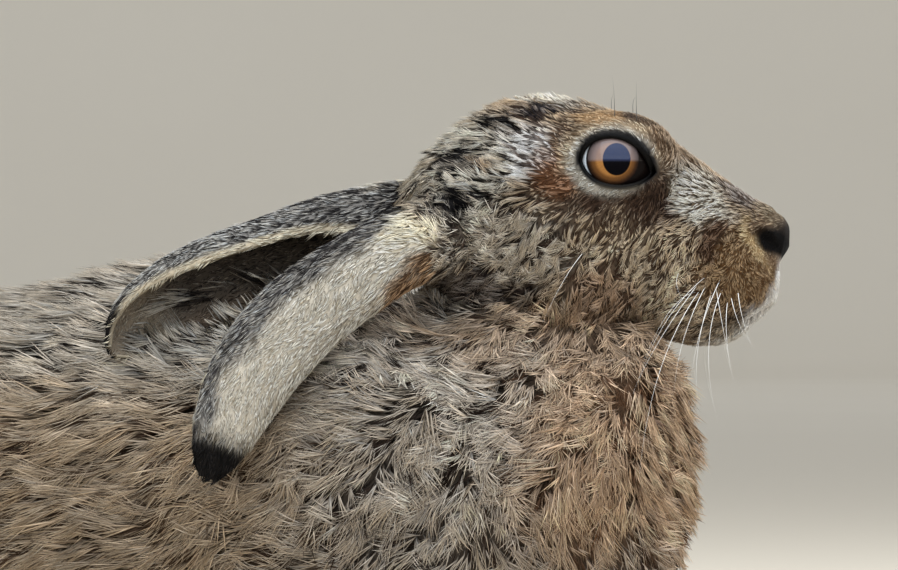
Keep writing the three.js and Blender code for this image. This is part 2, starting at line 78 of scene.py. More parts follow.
def new_object(name, mesh, material=None):
    made = bpy.data.objects.new(name, mesh)
    bpy.context.scene.collection.objects.link(made)
    if material:
        mesh.materials.append(material)
    return made


class Value:
    """A socket that takes part in plain arithmetic. Each sum adds its Math node."""

    def __init__(self, shader, socket):
        self.shader, self.socket = shader, socket

    def maths(self, operation, *values):
        return self.shader.add("Math", {"operation": operation}, list(values))

    __add__ = __radd__ = lambda self, other: self.maths("ADD", self, other)
    __mul__ = __rmul__ = lambda self, other: self.maths("MULTIPLY", self, other)
    __sub__ = lambda self, other: self.maths("SUBTRACT", self, other)
    __rsub__ = lambda self, other: self.maths("SUBTRACT", other, self)
    __truediv__ = lambda self, other: self.maths("DIVIDE", self, other)
    __pow__ = lambda self, other: self.maths("POWER", self, other)

    def band(self, low, high):
        """0 below low and 1 above high, eased between. Low may be the higher of the two."""
        settings = {"interpolation_type": "SMOOTHSTEP"}
        return self.shader.add("MapRange", settings, {"Value": self, "From Min": low, "From Max": high})


class Shader:
    """A material made of nodes, built from one method."""

    def __init__(self, name):
        self.material = bpy.data.materials.new(name)
        self.material.use_nodes = True
        self.tree = self.material.node_tree
        self.surface = self.tree.nodes["Principled BSDF"]

    def add(self, kind, settings=None, inputs=None, out=0):
        node = self.tree.nodes.new("ShaderNode" + kind)
        for key, setting in (settings or {}).items():
            setattr(node, key, setting)
        self.feed(node, inputs)
        return Value(self, node.outputs[out])

    def feed(self, node, inputs):
        pairs = enumerate(inputs) if isinstance(inputs, list) else (inputs or {}).items()
        for key, given in pairs:
            if isinstance(given, Value):
                self.tree.links.new(given.socket, node.inputs[key])
            else:
                node.inputs[key].default_value = given

    def place(self):
        return self.add("TexCoord", out=3)

    def noise(self, scale, detail=3.0, roughness=0.55, vector=None):
        inputs = {"Vector": vector or self.place(), "Scale": scale, "Detail": detail, "Roughness": roughness}
        return self.add("TexNoise", {}, inputs)

    def blend(self, share, first, second, way="MIX"):
        """Mixes two tones. One of three numbers is a colour as the eye sees it, and one of four is light as it is."""
        first, second = ((*paint(*t), 1) if isinstance(t, tuple) and len(t) == 3 else t for t in (first, second))
        settings = {"data_type": "RGBA", "blend_type": way}
        return self.add("Mix", settings, {0: share, 6: first, 7: second}, out=2)

    def bump(self, height, strength, distance):
        return self.add("Bump", {}, {"Height": height, "Strength": strength, "Distance": distance})

    def finish(self, **inputs):
        self.feed(self.surface, {key.replace("_", " "): given for key, given in inputs.items()})
        return self.material


def paint(red, green, blue):
    """A colour as the eye sees it, 0 to 255, as the light that it reflects."""
    seen = np.array([red, green, blue]) / 255
    return tuple(np.where(seen <= 0.04045, seen / 12.92, ((seen + 0.055) / 1.055) ** 2.4))


FLOOR_FLAT = 11.0
FLOOR_SWEEP = 3.0
SWEEP_STEPS = 12
SWEEP_SIDES = 96
WALL_HEIGHT = 9.0

sweep = bmesh.new()
profile = [sweep.verts.new((0.0, 0.0, 0.0)), sweep.verts.new((FLOOR_FLAT, 0.0, 0.0))]
for step in range(1, SWEEP_STEPS + 1):
    angle = step / SWEEP_STEPS * math.pi / 2
    reach = FLOOR_FLAT + FLOOR_SWEEP * math.sin(angle)
    profile.append(sweep.verts.new((reach, 0.0, FLOOR_SWEEP * (1 - math.cos(angle)))))
profile.append(sweep.verts.new((FLOOR_FLAT + FLOOR_SWEEP, 0.0, WALL_HEIGHT)))
edges = [sweep.edges.new(ends) for ends in zip(profile, profile[1:])]
turning = {"cent": (0, 0, 0), "axis": (0, 0, 1), "angle": 2 * math.pi, "steps": SWEEP_SIDES, "use_merge": True}
bmesh.ops.spin(sweep, geom=profile + edges, **turning)
bmesh.ops.remove_doubles(sweep, verts=sweep.verts, dist=1e-4)
bmesh.ops.recalc_face_normals(sweep, faces=sweep.faces)
soften(sweep)
for face in sweep.faces:
    if face.normal.z < 0:
        face.normal_flip()
paper = Shader("studio_paper")
shade = paper.noise(0.8, 2.0)
pale = paper.blend(shade, (226, 219, 206), (233, 227, 215))
# Painted shade: the paper is darker near the middle, under the hare, and paler towards the wall.
painted_shade_falloff = paper.add("VectorMath", {"operation": "LENGTH"}, [paper.place()], out=1).band(1.0, 10.0)
pale = paper.blend(painted_shade_falloff, (187, 179, 165), pale)
studio = new_object("studio_floor", new_mesh("studio_floor", sweep), paper.finish(Base_Color=pale, Roughness=0.9))


def soft_light(name, at, turn, size, power, colour):
    lamp = bpy.data.lights.new(name, "AREA")
    lamp.shape = "RECTANGLE"
    lamp.size, lamp.size_y = size
    lamp.energy = power
    lamp.color = colour
    made = bpy.data.objects.new(name, lamp)
    made.location = at
    made.rotation_euler = [math.radians(angle) for angle in turn]
    made.visible_camera = False
    bpy.context.scene.collection.objects.link(made)


soft_light("overhead_light", (-0.25, 0.15, 2.1), (-4, -7, 0), (2.0, 1.7), 44, (1.0, 0.985, 0.96))
soft_light("front_window", (0.0, -3.4, 2.5), (66, 0, 0), (8.0, 5.2), 352, (0.82, 0.91, 1.0))
soft_light("side_panel", (1.5, 0.75, 0.75), (76, 0, 116), (1.2, 1.2), 20, (0.86, 0.93, 1.0))
sky = bpy.data.worlds.new("studio_air")
sky.use_nodes = True
sky.node_tree.nodes["Background"].inputs["Color"].default_value = (0.93, 0.96, 1.0, 1)
sky.node_tree.nodes["Background"].inputs["Strength"].default_value = 0.74
bpy.context.scene.world = sky
bpy.context.scene.view_settings.view_transform = "Standard"

VIEW_CENTRE = (-99.53, -18.0, 124.95)
VIEW_WIDTH = 260.4
VIEW_DISTANCE = 3000.0

camera = bpy.data.cameras.new("camera")
camera.sensor_width = 36
camera.lens = camera.sensor_width * VIEW_DISTANCE / VIEW_WIDTH
camera.clip_end = 60
viewpoint = bpy.data.objects.new("camera", camera)
viewpoint.location = to_frame(VIEW_CENTRE) - np.array([0, VIEW_DISTANCE * MM, 0])
viewpoint.rotation_euler = (math.pi / 2, 0, 0)
bpy.context.scene.collection.objects.link(viewpoint)
bpy.context.scene.camera = viewpoint

# The skin
# One unbroken hide over head, trunk, legs, ears and tail. It lies inside the coat by the depth of the hair, and it
# is drawn tight over the eyes, where it is opened for the lids.

BODY_TURN = math.radians(20)
NECK_PIVOT = np.array([-90.0, 0.0, 0.0])
HEAD_BLEND = 1.6
RAY_STEP = 1.2
HALVINGS = 11
TRUNK_BLEND = 4.5
LOWER_ROUNDNESS = 2.15
EYE_RADIUS = 11.3


def turn_body(points, way=1):
    """Points of the straight body turned away to the left behind the neck, or back again."""
    c, s = math.cos(-BODY_TURN * way), math.sin(-BODY_TURN * way)
    p = np.asarray(points, float) - NECK_PIVOT
    return np.stack([p[:, 0] * c - p[:, 1] * s, p[:, 0] * s + p[:, 1] * c, p[:, 2]], 1) + NECK_PIVOT


def turn_only(directions, way=1):
    return turn_body(directions + NECK_PIVOT, way) - NECK_PIVOT


def smooth_field(places, values):
    """A smooth curve through values at falling places."""
    places, values = np.asarray(places, float), np.asarray(values, float)
    before, after = np.r_[0, 0 : len(places) - 1], np.r_[1 : len(places), len(places) - 1]
    slope = (values[after] - values[before]) / (places[after] - places[before])

    def value(x):
        b = np.clip(np.searchsorted(-places, -x, side="left"), 1, len(places) - 1)
        a = b - 1
        span = places[b] - places[a]
        t = np.clip((x - places[a]) / span, 0, 1)
        ease = t * t * (3 - 2 * t)
        pull = t * (1 - t) * span
        return values[a] * (1 - ease) + values[b] * ease + pull * (slope[a] * (1 - t) - slope[b] * t)

    return value


def sectioned(stations):
    """Distance from a body with rounded upright sections, given as x, top, bottom, widest, half and roundness."""
    table = np.array(stations, float)
    top, bottom, widest, half, upper = (smooth_field(table[:, 0], table[:, i]) for i in range(1, 6))
    front, back = table[0, 0], table[-1, 0]

    def distance(p):
        x, y, z = p.T
        middle, wide = widest(x), half(x)
        above = z > middle
        tall = np.where(above, top(x) - middle, middle - bottom(x))
        round_ = np.where(above, upper(x), LOWER_ROUNDNESS)
        away = (np.abs(y / wide) ** round_ + np.abs((z - middle) / tall) ** round_) ** (1 / round_)
        return np.maximum(np.maximum((away - 1) * np.minimum(wide, tall), x - front), back - x)

    return distance


def mass(at, size, pitch=0.0):
    """Distance from an ellipsoid that leans by pitch about Y."""
    c, s = math.cos(math.radians(pitch)), math.sin(math.radians(pitch))

    def distance(p):
        d = p - np.array(at)
        part = np.stack([d[:, 0] * c + d[:, 2] * s, d[:, 1], d[:, 2] * c - d[:, 0] * s], 1) / size
        length = np.linalg.norm(part, axis=1) + 1e-9
        return length * (length - 1) / (np.linalg.norm(part / size, axis=1) + 1e-12)

    return distance


def both(at, size, pitch=0.0):
    return [mass((at[0], side * at[1], at[2]), size, pitch) for side in (-1, 1)]


def flowing(masses, softness):
    return lambda p: -softness * np.log(sum(np.exp(-each(p) / softness) for each in masses))


def step_between(low, high, x):
    t = np.clip((x - low) / (high - low), 0, 1)
    return t * t * (3 - 2 * t)


head_stations = [
    (-3.4, 142, 122, 131, 6, 2.15),
    (-5, 147, 118.5, 130, 9, 2.15),
    (-9, 150, 115, 129, 12, 2.15),
    (-15, 154.4, 112.5, 129, 14.5, 2.15),
    (-22, 159.4, 110.5, 130, 16.8, 2.15),
    (-31, 166.4, 108.6, 132, 19.2, 2.15),
    (-40, 172.2, 108, 136, 22, 2.15),
    (-51, 177.2, 108, 141, 25.4, 2.15),
    (-62, 180, 109, 144, 27.8, 2.15),
    (-73, 180.8, 111, 146, 29.4, 2.15),
    (-84, 178, 114, 146, 29.8, 2.15),
    (-95, 171.2, 117, 144, 28.4, 2.15),
    (-104, 165.4, 122, 143, 25.4, 2.15),
    (-111, 156.5, 128, 142, 20, 2.15),
    (-117, 147, 137, 142, 9, 2.15),
]
head_surface = flowing(
    [
        sectioned(head_stations),
        mass((-7, 0, 139), (7.2, 8.6, 7.4), -18),
        *both((-15.5, 8.2, 125), (10.8, 9, 11.4), -12),
        mass((-24, 0, 114), (12, 10, 6.8)),
        *both((-62, 17, 132), (21, 13, 21), 12),
        *both((-51.4, 15, 160.8), (19.5, 14.6, 15.2)),
    ],
    HEAD_BLEND,
)
head_axis = lambda x: 139 + 5 * step_between(6, 60, -x)
LIDS_END = 13
HEAD_COAT = ([-116, -95, -70, -45, -25, -12, 0], [6.5, 4.6, 3.2, 2.3, 1.7, 1.1, 0.15])
MOUTH_LINE = np.array([(-31, 114.6), (-25, 113.4), (-19, 113.6), (-13, 115.4), (-8.6, 118), (-2, 119.2)])


def near_line(line, x, z):
    """Distance in the side view from a line through points."""
    nearest = np.full(len(x), 1e9)
    for (ax, az), (bx, bz) in zip(line, line[1:]):
        dx, dz = bx - ax, bz - az
        t = np.clip(((x - ax) * dx + (z - az) * dz) / (dx * dx + dz * dz), 0, 1)
        nearest = np.minimum(nearest, np.hypot(x - ax - t * dx, z - az - t * dz))
    return nearest


def from_eye(p):
    return np.linalg.norm(np.stack([p[:, 0], np.abs(p[:, 1]), p[:, 2]], 1) - EYE_AT, axis=1)


def head_hide(p):
    """Distance from the skin of the head, with the groove of the mouth, the cleft and the nostrils pressed in."""
    x, y, z = p.T
    depth = np.interp(x, *HEAD_COAT)
    depth = np.minimum(depth, 0.9 + 0.16 * np.maximum(from_eye(p) - LIDS_END, 0))
    depth += 1.5 * np.exp(-((near_line(MOUTH_LINE, x, z) / 0.9) ** 2)) * (np.abs(y) > 2)
    depth += 1.5 * np.exp(-((y / 0.9) ** 2)) * step_between(134.5, 132, z) * step_between(117, 119, z) * (x > -12)
    slit = mass((-7.4, 8.6, 137.4), (4.6, 3.6, 2.4), -48)(np.stack([x, np.abs(y), z], 1))
    depth += 3.6 * step_between(1.4, -2.2, slit)
    ball = from_eye(p) - EYE_RADIUS - 1.15
    return np.minimum(head_surface(p) + depth, ball)


trunk_stations = [
    (-30, 107, 50, 75, 13, 2.2),
    (-33, 114, 36, 72, 23, 2.2),
    (-40, 118, 25, 68, 32, 2.1),
    (-56, 123, 15, 64, 40, 2),
    (-76, 128, 10, 62, 45.5, 1.95),
    (-100, 128, 8.5, 61, 50, 1.85),
    (-126, 128.5, 8, 60, 53, 1.78),
    (-152, 134.5, 7, 59, 56, 1.75),
    (-177, 139.4, 6, 59, 59, 1.78),
    (-192, 136.8, 6, 59, 60, 1.82),
    (-208, 132.6, 6, 59, 61, 1.86),
    (-223, 127.6, 6, 59, 62, 1.9),
    (-240, 122.6, 6, 60, 63, 1.95),
    (-258, 121.6, 6, 61, 64, 2),
    (-280, 127, 6, 64, 65, 2.05),
    (-308, 138, 7, 68, 65, 2.1),
    (-338, 145.6, 9, 70, 64, 2.12),
    (-366, 143.6, 11, 70, 60, 2.12),
    (-392, 133, 16, 68, 52, 2.1),
    (-414, 115, 24, 65, 41, 2.05),
    (-429, 94, 38, 64, 26, 2),
    (-436, 76, 54, 64, 11, 2),
]
trunk_surface = flowing(
    [
        sectioned(trunk_stations),
        *both((-112, 36, 62), (46, 19, 44), -30),
        *both((-330, 45, 72), (74, 33, 60), -10),
        *both((-276, 55, 46), (34, 21, 36), 24),
    ],
    TRUNK_BLEND,
)


COAT_BY_HEIGHT = ([4, 18, 45, 90], [3.6, 5.5, 8, 9.2])
COAT_ALONG_BODY = ([-436, -410, -60, -30], [0.75, 1, 1, 0.85])


def trunk_coat_depth(p):
    """Deep on the back and the neck, thinner under the belly and where the neck runs into the head."""
    depth = np.interp(p[:, 2], *COAT_BY_HEIGHT) * np.interp(p[:, 0], *COAT_ALONG_BODY)
    at_head = np.clip(head_surface(turn_body(p)) + 6, 0, 30)
    return np.minimum(depth, 1.5 + at_head * 0.45)


trunk_hide = lambda p: trunk_surface(p) + trunk_coat_depth(p)


def sphere_form(rings, sides):
    """A closed skin of rings, with each point's share from pole to pole and its angle round the axis."""
    form = bmesh.new()
    bmesh.ops.create_uvsphere(form, u_segments=sides, v_segments=rings, radius=1)
    points = np.array([v.co for v in form.verts])
    share = np.arccos(np.clip(points[:, 2], -1, 1)) / math.pi
    return form, share, np.arctan2(points[:, 1], points[:, 0])


def face_out(form):
    """Turns a closed form's faces outward."""
    if form.calc_volume(signed=True) < 0:
        bmesh.ops.reverse_faces(form, faces=form.faces)
    return form


def move(form, places):
    for vertex, place in zip(form.verts, places):
        vertex.co = place


def settle(form, places):
    move(form, places)
    return face_out(form)


def march(surface, x, angle, axis, reach):
    """The outermost crossing of a surface on rays that leave an upright section's axis."""
    y, z, middle = np.cos(angle), np.sin(angle), axis(x)
    at = lambda r: np.stack([x, y * r, middle + z * r], 1)
    outer = np.zeros(len(x))
    for r in np.arange(0, reach, RAY_STEP):
        outer = np.where(surface(at(np.full(len(x), r))) < 0, r, outer)
    inner, outer = outer, outer + RAY_STEP
    for _ in range(HALVINGS):
        middle_r = (inner + outer) / 2
        outside = surface(at(middle_r)) > 0
        inner, outer = np.where(outside, inner, middle_r), np.where(outside, middle_r, outer)
    return at(inner)


def swept_form(surface, rings, sides, front, back, lean, axis, reach):
    """The skin inside a surface, as rings from front to back. The higher the lean, the closer they lie in front."""
    form, share, angle = sphere_form(rings, sides)
    even = (1 - np.cos(share * math.pi)) / 2
    x = front + (back - front) * (even * (1 - lean) + lean * even**1.6)
    places = march(surface, x, angle, axis, reach)
    ends = (share < 1e-3) | (share > 1 - 1e-3)
    places[ends, 1:] = np.stack([np.zeros(ends.sum()), axis(x[ends])], 1)
    return settle(form, places)


def centripetal(points):
    """A smooth path through points, and its direction, for shares from 0 to 1."""
    points = np.array(points, float)
    padded = np.vstack([2 * points[0] - points[1], points, 2 * points[-1] - points[-2]])

    def at(t):
        t = np.clip(np.asarray(t, float), 0, 1) * (len(points) - 1)
        i = np.minimum(t.astype(int), len(points) - 2)
        w = (t - i)[:, None]
        a, b, c, d = (padded[i + k] for k in range(4))
        gap = [np.sqrt(np.linalg.norm(q - p, axis=1))[:, None] for p, q in ((a, b), (b, c), (c, d))]
        leave = ((b - a) / gap[0] - (c - a) / (gap[0] + gap[1]) + (c - b) / gap[1]) * gap[1]
        arrive = ((c - b) / gap[1] - (d - b) / (gap[1] + gap[2]) + (d - c) / gap[2]) * gap[1]
        return b + leave * w + (3 * (c - b) - 2 * leave - arrive) * w**2 + (2 * (b - c) + leave + arrive) * w**3

    def along(t):
        step = at(np.asarray(t) + 1e-3) - at(np.asarray(t) - 1e-3)
        return step / np.linalg.norm(step, axis=1)[:, None]

    return at, along


def limb_form(stations, depth, rings=26, sides=26):
    """A rounded limb along a smooth path, drawn in by the depth of its coat."""
    path, along = centripetal([s[:3] for s in stations])
    form, share, angle = sphere_form(rings, sides)
    t = (1 - np.cos(share * math.pi)) / 2
    marks = np.linspace(0, 1, len(stations))
    wide = np.interp(t, marks, [s[3] for s in stations]) - depth
    tall = np.interp(t, marks, [s[4] for s in stations]) - depth
    ahead = along(t)
    across = np.cross([0, 0, 1], ahead)
    across /= np.linalg.norm(across, axis=1)[:, None]
    up = np.cross(ahead, across)
    closing = np.sqrt(np.minimum(1, np.sin(share * math.pi) * 1.9))
    ends = np.where(share < 0.5, 1, -1) * depth * (np.abs(share - 0.5) > 0.49)
    places = path(t) + ahead * ends[:, None]
    places += across * (np.cos(angle) * wide * closing)[:, None] + up * (np.sin(angle) * tall * closing)[:, None]
    return form, places


def fore_arm(side):
    return [
        (-126, side * 38, 44, 16, 19),
        (-104, side * 33, 27, 15.4, 17),
        (-74, side * 25, 16.5, 12.6, 12.8),
        (-50, side * 20.5, 12, 11, 10.5),
    ]


def fore_paw(side):
    return [(-60, side * 22.4, 13, 10.6, 11), (-38, side * 19, 10.4, 11.4, 10.2), (-10, side * 17.4, 7.4, 11, 8.2)]


def hind_foot(side):
    return [
        (-410, side * 43, 21, 11, 13),
        (-378, side * 49, 15, 13, 14),
        (-326, side * 57, 11.4, 14.4, 11.6),
        (-278, side * 63.4, 9, 15.6, 9.8),
        (-254, side * 65.6, 6.6, 13.4, 7.2),
    ]


TAIL = [(-416, 0, 62, 14, 14), (-436, 0, 51, 17, 15), (-455, 0, 38, 17.4, 13.6), (-474, 0, 25, 9, 8)]
FORE_TOES = {"at": (-16, 17.8, 6.2), "spread": 5.4, "radius": 4.4, "reach": 12}
HIND_TOES = {"at": (-262, 65.2, 6), "spread": 7, "radius": 5.2, "reach": 14}
TOE_COAT = 1.4
TOE_LEAN = math.radians(-8)


def toe_places(side, at, spread, radius, reach):
    """Four toes: where each one's middle is. The outer ones lie further back and a little lower."""
    for place in (-1.5, -0.5, 0.5, 1.5):
        outer = abs(place) > 1
        yield at[0] - reach * 0.3 * outer, side * at[1] + place * spread, at[2] - 0.6 * outer


def toe_form(place, radius, reach):
    form = bmesh.new()
    bmesh.ops.create_uvsphere(form, u_segments=16, v_segments=12, radius=1)
    points = np.array([v.co for v in form.verts]) * (reach - TOE_COAT, radius - TOE_COAT, radius * 0.94 - TOE_COAT)
    c, s = math.cos(TOE_LEAN), math.sin(TOE_LEAN)
    lean = np.stack([points[:, 0] * c - points[:, 2] * s, points[:, 1], points[:, 0] * s + points[:, 2] * c], 1)
    return form, lean + place


EAR_SHARE = [1, 0.96, 0.88, 0.72, 0.5, 0.3, 0.15, 0]
slim_radius = smooth_field(EAR_SHARE, [1.2, 4.6, 7.6, 9.9, 10.4, 9.8, 8.8, 7.6])
ear_curl = smooth_field(EAR_SHARE, [140, 160, 180, 200, 212, 235, 280, 320])
EAR_HIDE = 1.3
EARS = {
    "right": (
        [(-99, -19, 141.2), (-113.5, -23.5, 135), (-127.5, -27.5, 126.8), (-141, -30.5, 117)]
        + [(-152.5, -32.8, 104.6), (-161, -36, 90), (-169, -41, 69.5)],
        [(0.1, 0.6, -0.8), (0.05, 0.9, -0.3), (0, 1, -0.1), (0, 1, 0)],
        1.0,
    ),
    "left": (
        [(-98, 18, 144.2), (-114, 17, 141.6), (-131, 12, 137.4), (-149, 3.5, 130.4)]
        + [(-168, -5, 123.6), (-183, -9.6, 116.4), (-196.5, -12, 105.5)],
        [(0.1, -0.4, -0.9), (0.05, -0.45, -0.89), (0, -0.76, -0.65), (0, -0.74, -0.67), (0, -0.8, -0.6)],
        1.24,
    ),
}


def ear_frame(name, t):
    """Middle, direction, way that the trough opens and way across it, at shares along an ear."""
    middle, mouths, _ = EARS[name]
    path, along = centripetal(middle)
    mouths = np.array(mouths, float)
    opening = centripetal(mouths / np.linalg.norm(mouths, axis=1)[:, None])[0](t)
    ahead = along(t)
    opening -= ahead * (opening * ahead).sum(1)[:, None]
    opening /= np.linalg.norm(opening, axis=1)[:, None]
    return path(t), ahead, opening, np.cross(ahead, opening)


def ear_radius(name, t):
    return slim_radius(t) * EARS[name][2]


def ear_form(name, rows=64, columns=44):
    """An ear as a curled sheet that is given its thickness."""
    form = bmesh.new()
    bmesh.ops.create_grid(form, x_segments=columns, y_segments=rows, size=0.5)
    points = np.array([v.co for v in form.verts])
    t = np.sin((points[:, 1] + 0.5) * math.pi / 2)
    centre, ahead, opening, across = ear_frame(name, t)
    turn = points[:, 0] * np.radians(ear_curl(t))
    lift = (ear_radius(name, t) + EAR_HIDE / 2)[:, None]
    places = centre + (across * np.sin(turn)[:, None] - opening * np.cos(turn)[:, None]) * lift
    ripple = 0.5 * np.sin(t * 9 + points[:, 0] * 5) * np.abs(points[:, 0] * 2) ** 3
    places += across * ripple[:, None]
    move(form, places)
    form.normal_update()
    bmesh.ops.solidify(form, geom=form.faces[:], thickness=EAR_HIDE)
    return face_out(form)


def opening_outline(spread, count=56):
    """The edge of the open eye in the side view, as x and z from the middle of the eye."""
    rear, front = np.array([-10.0 - spread * 0.8, -0.6]), np.array([10.2 + spread * 1.2, -3.9])
    crown, floor, lean = 8.6 + spread * 1.35, -9.4 - spread * 0.9, 3.6 + spread * 0.4
    upper = [rear, (rear[0] + 0.6, crown), (front[0] - lean, crown + 0.9), front]
    lower = [front, (front[0] - lean * 1.2, floor), (rear[0] + lean * 0.7, floor), rear]
    t = np.linspace(0, 1, count // 2, endpoint=False)[:, None]

    def curve(a, b, c, d):
        b, c = np.array(b), np.array(c)
        return a * (1 - t) ** 3 + 3 * b * t * (1 - t) ** 2 + 3 * c * t**2 * (1 - t) + d * t**3

    return np.vstack([curve(*upper), curve(*lower)])


def opening_form(side, spread):
    """A prism through the lids, from inside the eye outwards."""
    form = bmesh.new()
    edge = opening_outline(spread)
    ring = [form.verts.new((EYE_AT[0] + x, side * EYE_AT[1] * 0.9, EYE_AT[2] + z)) for x, z in edge]
    face = form.faces.new(ring)
    moved = bmesh.ops.extrude_face_region(form, geom=[face])["geom"]
    bmesh.ops.translate(form, vec=(0, side * 30, 0), verts=[v for v in moved if isinstance(v, bmesh.types.BMVert)])
    bmesh.ops.recalc_face_normals(form, faces=form.faces)
    return face_out(form)


LID_ROWS = [(0.0, 0.12), (-0.35, 0.55), (-0.05, 1.0), (0.7, 1.5), (1.6, 1.55), (2.3, 1.1), (2.2, 0.2)]


def lid_form(side):
    """The bare rim of the lids, a rounded band that lies on the eyeball round its opening."""
    form = bmesh.new()
    rows = []
    for spread, height in LID_ROWS:
        edge = opening_outline(spread)
        flat = np.hypot(edge[:, 0], edge[:, 1])
        rise = np.sqrt(np.maximum((EYE_RADIUS + height) ** 2 - flat**2, 9.0))
        places = EYE_AT + np.stack([edge[:, 0], rise, edge[:, 1]], 1)
        rows.append([form.verts.new(place * (1, side, 1)) for place in places])
    loops = [[form.edges.new((a, b)) for a, b in zip(row, row[1:] + row[:1])] for row in rows]
    for first, second in zip(loops, loops[1:] + loops[:1]):
        bmesh.ops.bridge_loops(form, edges=first + second)
    bmesh.ops.recalc_face_normals(form, faces=form.faces)
    return face_out(form)


def ball_form(side, grow):
    form = bmesh.new()
    bmesh.ops.create_uvsphere(form, u_segments=64, v_segments=40, radius=EYE_RADIUS + grow)
    bmesh.ops.translate(form, vec=EYE_AT * (1, side, 1), verts=form.verts)
    return form


skin_forms = {"head": swept_form(head_hide, 150, 128, -0.3, -114.0, 0.5, head_axis, 62)}
trunk_form = swept_form(trunk_hide, 130, 112, -38.0, -428.5, 0.0, lambda x: x * 0 + 70, 110)
skin_forms["trunk"] = settle(trunk_form, turn_body([v.co for v in trunk_form.verts]))


def ear_room(name, spare=0.7, rings=40, sides=40):
    """The round room that an ear takes up where it lies in the fur of the shoulders."""
    form, share, angle = sphere_form(rings, sides)
    t = np.sin(share * math.pi / 2)
    centre, ahead, opening, across = ear_frame(name, t)
    reach = (ear_radius(name, t) + EAR_HIDE + spare) * np.minimum(1, np.sin(share * math.pi) * 4)
    around = opening * np.cos(angle)[:, None] + across * np.sin(angle)[:, None]
    return settle(form, centre + around * reach[:, None])


LIMBS = {"foreleg": (fore_arm, 3.2), "forepaw": (fore_paw, 2.4), "hind_foot": (hind_foot, 2.6)}
turned_parts = {"tail": limb_form(TAIL, 5.2)}
for name, side in (("right", -1), ("left", 1)):
    skin_forms[f"ear_{name}"] = ear_form(name)
    for limb, (stations, coat_depth) in LIMBS.items():
        turned_parts[f"{limb}_{name}"] = limb_form(stations(side), coat_depth)
    for toe, toes in (("fore_toe", FORE_TOES), ("hind_toe", HIND_TOES)):
        for i, place in enumerate(toe_places(side, **toes)):
            turned_parts[f"{toe}_{name}_{i}"] = toe_form(place, toes["radius"], toes["reach"])
for name, (form, places) in turned_parts.items():
    skin_forms[name] = settle(form, turn_body(places))

PARTS = ["head", "trunk", "ear_right", "ear_left", "foreleg", "hind_foot", "tail"]
GROUPS = {"forepaw": "foreleg", "fore_toe": "foreleg", "hind_toe": "hind_foot"}


def part_of(name):
    for start, group in GROUPS.items():
        if name.startswith(start):
            return PARTS.index(group)
    return next(i for i, part in enumerate(PARTS) if name.startswith(part))


nearest_skin = kdtree.KDTree(sum(len(form.verts) for form in skin_forms.values()))
for name, form in skin_forms.items():
    for vertex in form.verts:
        nearest_skin.insert(vertex.co, part_of(name))
nearest_skin.balance()


def in_fixed_order(mesh):
    """A mesh as a form whose corners and faces come in an order that depends on their places alone."""
    places = [tuple(v.co) for v in mesh.vertices]
    order = sorted(range(len(places)), key=places.__getitem__)
    rank = np.argsort(order)
    rings = []
    for face in mesh.polygons:
        ring = rank[list(face.vertices)].tolist()
        first = ring.index(min(ring))
        rings.append(ring[first:] + ring[:first])
    form = bmesh.new()
    corners = [form.verts.new(places[i]) for i in order]
    for ring in sorted(rings):
        form.faces.new([corners[i] for i in ring])
    return form


def join_forms(name, first, others, operation):
    """Joins closed forms to the first, or cuts them out of it, and returns the result as one mesh."""
    base = new_object(name, new_mesh(name, first))
    tools = [new_object("tool", new_mesh("tool", other)) for other in others]
    for tool in tools:
        step = base.modifiers.new("step", "BOOLEAN")
        step.operation, step.solver, step.object = operation, "MANIFOLD", tool
    shape = base.evaluated_get(bpy.context.evaluated_depsgraph_get())
    form = in_fixed_order(bpy.data.meshes.new_from_object(shape))
    for each in (base, *tools):
        bpy.data.objects.remove(each)
    return form


def largest_body(form):
    """Keeps the largest closed surface of a form."""
    form.verts.ensure_lookup_table()
    seen, best = set(), []
    for start in form.verts:
        if start in seen:
            continue
        body, edge = [], [start]
        seen.add(start)
        while edge:
            vertex = edge.pop()
            body.append(vertex)
            for link in vertex.link_edges:
                other = link.other_vert(vertex)
                if other not in seen:
                    seen.add(other)
                    edge.append(other)
        best = max(best, body, key=len)
    keep = set(best)
    bmesh.ops.delete(form, geom=[v for v in form.verts if v not in keep], context="VERTS")
    return form


CUT_SPREAD = 1.2
BALL_SPARE = 0.12
JOIN_WITHIN = 0.004
SLIVER = 0.003
rest_of_skin = [form for name, form in skin_forms.items() if name != "trunk"]
skin_form = join_forms("skin", skin_forms["trunk"], [ear_room(name) for name in EARS], "DIFFERENCE")
skin_form = join_forms("skin", skin_form, rest_of_skin, "UNION")
cuts = [opening_form(side, CUT_SPREAD) for side in (-1, 1)] + [ball_form(side, BALL_SPARE) for side in (-1, 1)]
skin_form = join_forms("skin", skin_form, cuts, "DIFFERENCE")
skin_form = join_forms("skin", skin_form, [lid_form(side) for side in (-1, 1)], "UNION")
skin_form = largest_body(skin_form)
bmesh.ops.remove_doubles(skin_form, verts=skin_form.verts, dist=JOIN_WITHIN)
bmesh.ops.dissolve_degenerate(skin_form, edges=skin_form.edges, dist=SLIVER)
bmesh.ops.recalc_face_normals(skin_form, faces=skin_form.faces)
soften(skin_form)
